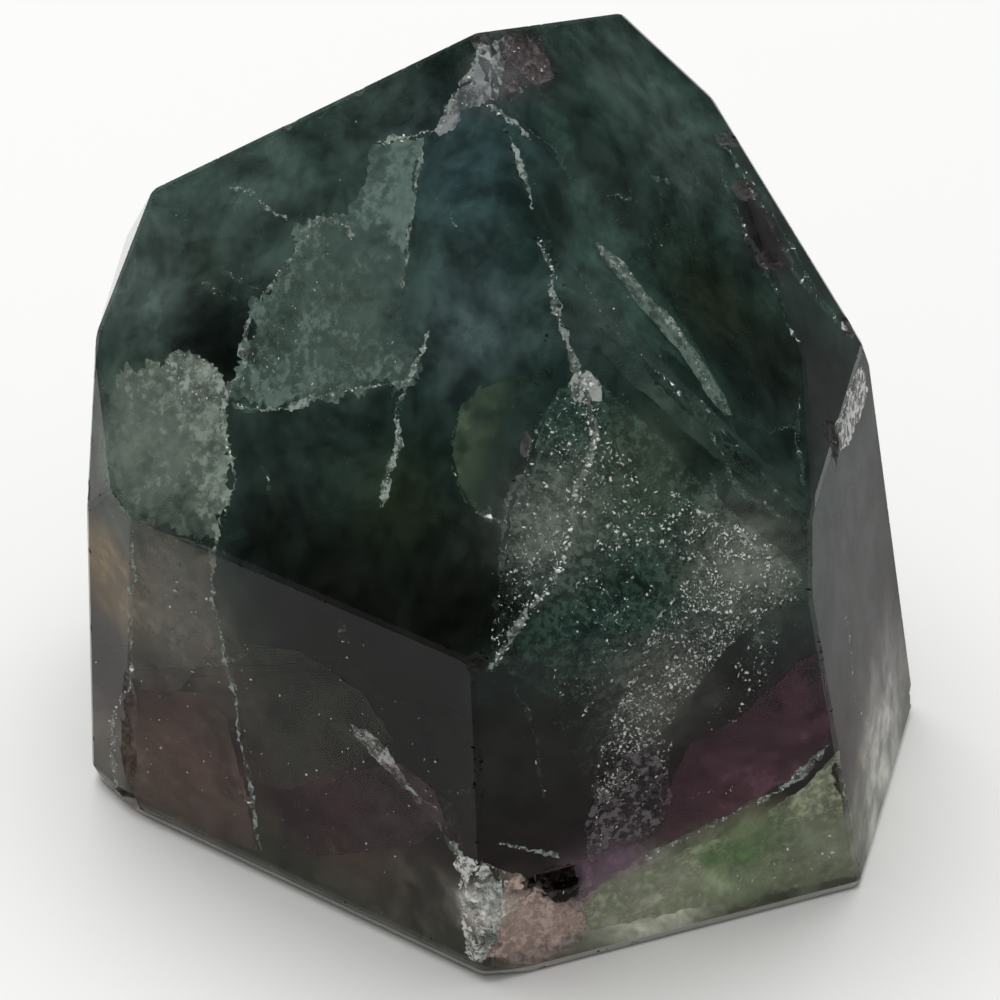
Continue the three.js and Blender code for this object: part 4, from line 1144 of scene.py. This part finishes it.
flakes = {  # bright cleavage flakes just under the skin, metres
    "Smallest": 0.00005, "Depth": 0.0002, "Patch": 500.0, "Seed": 6,
    "grid": 12,  # spacing of a bed's points, frame points
    "bedLevels": (0.42, 0.62),  # noise levels where a bed is bare and where it is full
    "sinking": (0.15, 1.0),  # share of the depth
    "rarity": 3.0,
    "stretch": ((0.3, 0.4, 0.6), (1.0, 0.8, 1.4)),
    "seeds": (47, 53),
    "sinkSeed": 41,
    "sizeSeed": 43,
}
flakeBeds = {  # how many flakes to a square metre, the largest in metres, how deep the bed lies in mm
    "spineDust": {"Density": 2.0e8, "Largest": 0.00025, "depth": -0.02, "outline": [
        (577, 375, .8), (600, 385, .8), (612, 420, .4), (600, 470, .4), (585, 520, .5), (560, 580, .6),
        (530, 625, .6), (495, 662, .8), (490, 640, .6), (500, 590, .6), (505, 545, .6), (520, 495, .5),
        (535, 445, .4), (550, 405, .5)]},
    "topSparkle": {"Density": 2.4e8, "Largest": 0.0003, "depth": -0.02, "outline": [
        (640, 475, .3), (700, 505, .8), (745, 528, 1), (772, 545, 1), (730, 562, .7), (680, 560, .5),
        (640, 540, .4), (600, 560, .3), (600, 480, .3), (605, 430, .4)]},
    "bandDust": {"Density": 4.4e8, "Largest": 0.00024, "depth": -0.02, "outline": [
        (800, 575, 1), (804, 598, 1), (760, 618, .8), (720, 655, .7), (690, 700, .7), (650, 745, .7),
        (612, 800, .8), (590, 795, .5), (600, 750, .5), (620, 700, .7), (640, 655, .8), (660, 610, .8),
        (690, 570, .8), (740, 545, 1), (770, 555, 1)]},
    "paleDust": {"Density": 1.6e8, "Largest": 0.00022, "depth": -0.02, "outline": [
        (590, 430, .3), (640, 450, .4), (660, 560, .4), (640, 640, .6), (600, 700, .5), (560, 740, .2),
        (540, 690, .2), (560, 620, .4), (590, 540, .3)]},
    "rightFacetDust": {"Density": 1.2e8, "Largest": 0.00028, "depth": -0.02, "outline": [
        (735, 660, .5), (770, 620, .8), (785, 630, .6), (770, 680, .6), (740, 720, .5), (700, 740, .4)]},
    "footGrains": {"Density": 4.6e8, "Largest": 0.00024, "Depth": 0.00002, "depth": 0.0, "outline": [
        (459, 855, 1), (480, 860, 1), (500, 870, 1), (503, 900, 1), (498, 934, .9), (482, 962, .8),
        (468, 958, .9), (463, 920, 1), (459, 880, 1)]},
    "footFlecks": {"Density": 0.3e8, "Largest": 0.0003, "depth": -0.02, "outline": [
        (690, 900, .6), (760, 885, .8), (850, 860, .8), (845, 800, .6), (800, 840, .7), (740, 870, .6)]},
    "cornerDust": {"Density": 2.0e8, "Largest": 0.0002, "depth": -0.02, "outline": [
        (592, 800, .7), (610, 765, .9), (640, 742, 1), (672, 740, .8), (668, 780, .7), (640, 812, .6),
        (600, 850, .5)]},
    "hollowSpot": {"Density": 6.0e8, "Largest": 0.0002, "depth": -0.02, "outline": [
        (559, 880, 1), (569, 880, 1), (571, 890, 1), (560, 892, 1)]},
    "leftFootDust": {"Density": 0.012e8, "Largest": 0.0002, "depth": 0.05, "outline": [
        (140, 560, .6), (300, 640, .4), (440, 700, .4), (440, 860, .6), (300, 850, .5), (140, 790, .8)]},
    "leftVeilDust": {"Density": 2.0e8, "Largest": 0.00018, "depth": -0.02, "outline": [
        (170, 358, 1), (188, 354, 1), (208, 366, 1), (226, 392, 1), (222, 430, .5), (190, 425, .4),
        (158, 400, .5)]},
    "wideVeilDust": {"Density": 0.6e8, "Largest": 0.00018, "depth": -0.02, "outline": [
        (232, 402, 1), (300, 400, .8), (405, 382, .8), (396, 340, .4), (330, 340, .2), (330, 250, .4),
        (300, 246, .8), (252, 320, 1), (242, 375, 1)]},
    "peakSparks": {"Density": 0.3e8, "Largest": 0.0002, "depth": 0.05, "outline": [
        (600, 190, .5), (640, 180, .6), (700, 150, .5), (700, 260, .6), (660, 270, .6), (620, 250, .6)]},
    "apexDust": {"Density": 1.6e8, "Largest": 0.00016, "depth": -0.02, "outline": [
        (480, 46, .8), (548, 36, .4), (548, 62, .4), (520, 90, .5), (500, 100, .7), (462, 112, .8),
        (440, 130, 1), (452, 104, 1), (470, 78, 1)]},
}
looseSpecks = {"Density": 0.5e6, "Largest": 0.0002, "Patch": 90.0, "Seed": 9}  # over the whole stone


def flakeTree():  # flakes thrown over a face, sunk by up to Depth, thickest where share and the noise are high
    tree, given = newTree("cleavageFlakes", {
        "Density": ("NodeSocketFloat", 1e7), "Smallest": ("NodeSocketFloat", 0.00004),
        "Largest": ("NodeSocketFloat", 0.0002), "Depth": ("NodeSocketFloat", 0.0005),
        "Patch": ("NodeSocketFloat", 300.0), "Seed": ("NodeSocketInt", 1),
        "Material": ("NodeSocketMaterial", None)})
    share = addNode(tree, "GeometryNodeInputNamedAttribute", {"Name": "share"})
    place = addNode(tree, "GeometryNodeInputPosition")
    patches = addNode(tree, "ShaderNodeTexNoise", {
        "Vector": place.outputs[0], "Scale": given["Patch"], "Detail": 3.0, "Roughness": 0.6})
    crowd = addNode(tree, "ShaderNodeMapRange", {
        "Value": patches.outputs[0], "From Min": flakes["bedLevels"][0], "From Max": flakes["bedLevels"][1]})
    thick = addNode(tree, "ShaderNodeMath", {0: share.outputs[0], 1: crowd.outputs[0]}, operation="MULTIPLY")
    density = addNode(tree, "ShaderNodeMath", {0: thick.outputs[0], 1: given["Density"]}, operation="MULTIPLY")
    spots = addNode(tree, "GeometryNodeDistributePointsOnFaces", {
        0: given["Geometry"], "Density": density.outputs[0], "Seed": given["Seed"]})
    deep = addNode(tree, "FunctionNodeRandomValue", {
        2: flakes["sinking"][0], 3: flakes["sinking"][1], "Seed": flakes["sinkSeed"]})
    sink = addNode(tree, "ShaderNodeMath", {0: deep.outputs[1], 1: given["Depth"]}, operation="MULTIPLY")
    inward = addNode(tree, "ShaderNodeMath", {0: sink.outputs[0], 1: -1.0}, operation="MULTIPLY")
    shift = addNode(tree, "ShaderNodeVectorMath", {0: spots.outputs["Normal"], "Scale": inward.outputs[0]},
                    operation="SCALE")
    sunk = addNode(tree, "GeometryNodeSetPosition", {0: spots.outputs[0], "Offset": shift.outputs[0]})
    # A flake is a flat four-sided chip, narrower on top.
    chip = addNode(tree, "GeometryNodeMeshCone", {
        "Vertices": 4, "Radius Top": 0.7, "Radius Bottom": 1.0, "Depth": 0.25})
    luck = addNode(tree, "FunctionNodeRandomValue", {"Seed": flakes["sizeSeed"]})
    rare = addNode(tree, "ShaderNodeMath", {0: luck.outputs[1], 1: flakes["rarity"]}, operation="POWER")
    size = addNode(tree, "ShaderNodeMapRange", {
        "Value": rare.outputs[0], "To Min": given["Smallest"], "To Max": given["Largest"]})
    laid = scatterLumps(tree, sunk.outputs[0], chip.outputs[0], size.outputs[0], flakes["stretch"], flakes["seeds"])
    return endTree(tree, laid, given["Material"])


def patchMesh(name, outline, depth):  # a single skin lying depth mm under the outline
    shape = bmesh.new()
    share = shape.verts.layers.float.new("share")
    spots, edges, low, high = ringOf(outline)
    grid = flakes["grid"]
    for column in range(int((high.x - low.x) / grid)):
        for row in range(int((high.y - low.y) / grid)):
            spots.append(low + Vector((column + 0.5, row + 0.5)) * grid)
    flat, _, triangles, *_ = delaunay_2d_cdt(spots, edges, [], *outlineFill)
    verts = {}
    for index in {k for triangle in triangles for k in triangle}:
        point = sinkPoint(sight, flat[index], depth)
        if point is not None:
            verts[index] = shape.verts.new(point)
            verts[index][share] = shareInside(flat[index], outline)
    for triangle in triangles:
        if all(k in verts for k in triangle):
            shape.faces.new([verts[k] for k in triangle])
    bmesh.ops.recalc_face_normals(shape, faces=shape.faces)
    if sum(face.normal.z for face in shape.faces) < 0:
        bmesh.ops.reverse_faces(shape, faces=shape.faces)
    return meshFrom(name, shape)


def throwFlakes(name, patch, tree, bed):  # the patch itself is taken away
    mesh = runTree(patch, tree, {**flakes, **bed, "Material": crushed})
    bpy.data.objects.remove(patch)
    dress(addObject(name, mesh))


flakeNodes = flakeTree()
for name, bed in flakeBeds.items():
    throwFlakes(name, addObject(name, patchMesh(name, bed["outline"], bed["depth"])), flakeNodes, bed)
whole = copyOfSolid()
whole.data.attributes.new("share", "FLOAT", "POINT")
whole.data.attributes["share"].data.foreach_set("value", [1.0] * len(whole.data.vertices))
throwFlakes("looseSpecks", whole, flakeNodes, looseSpecks)
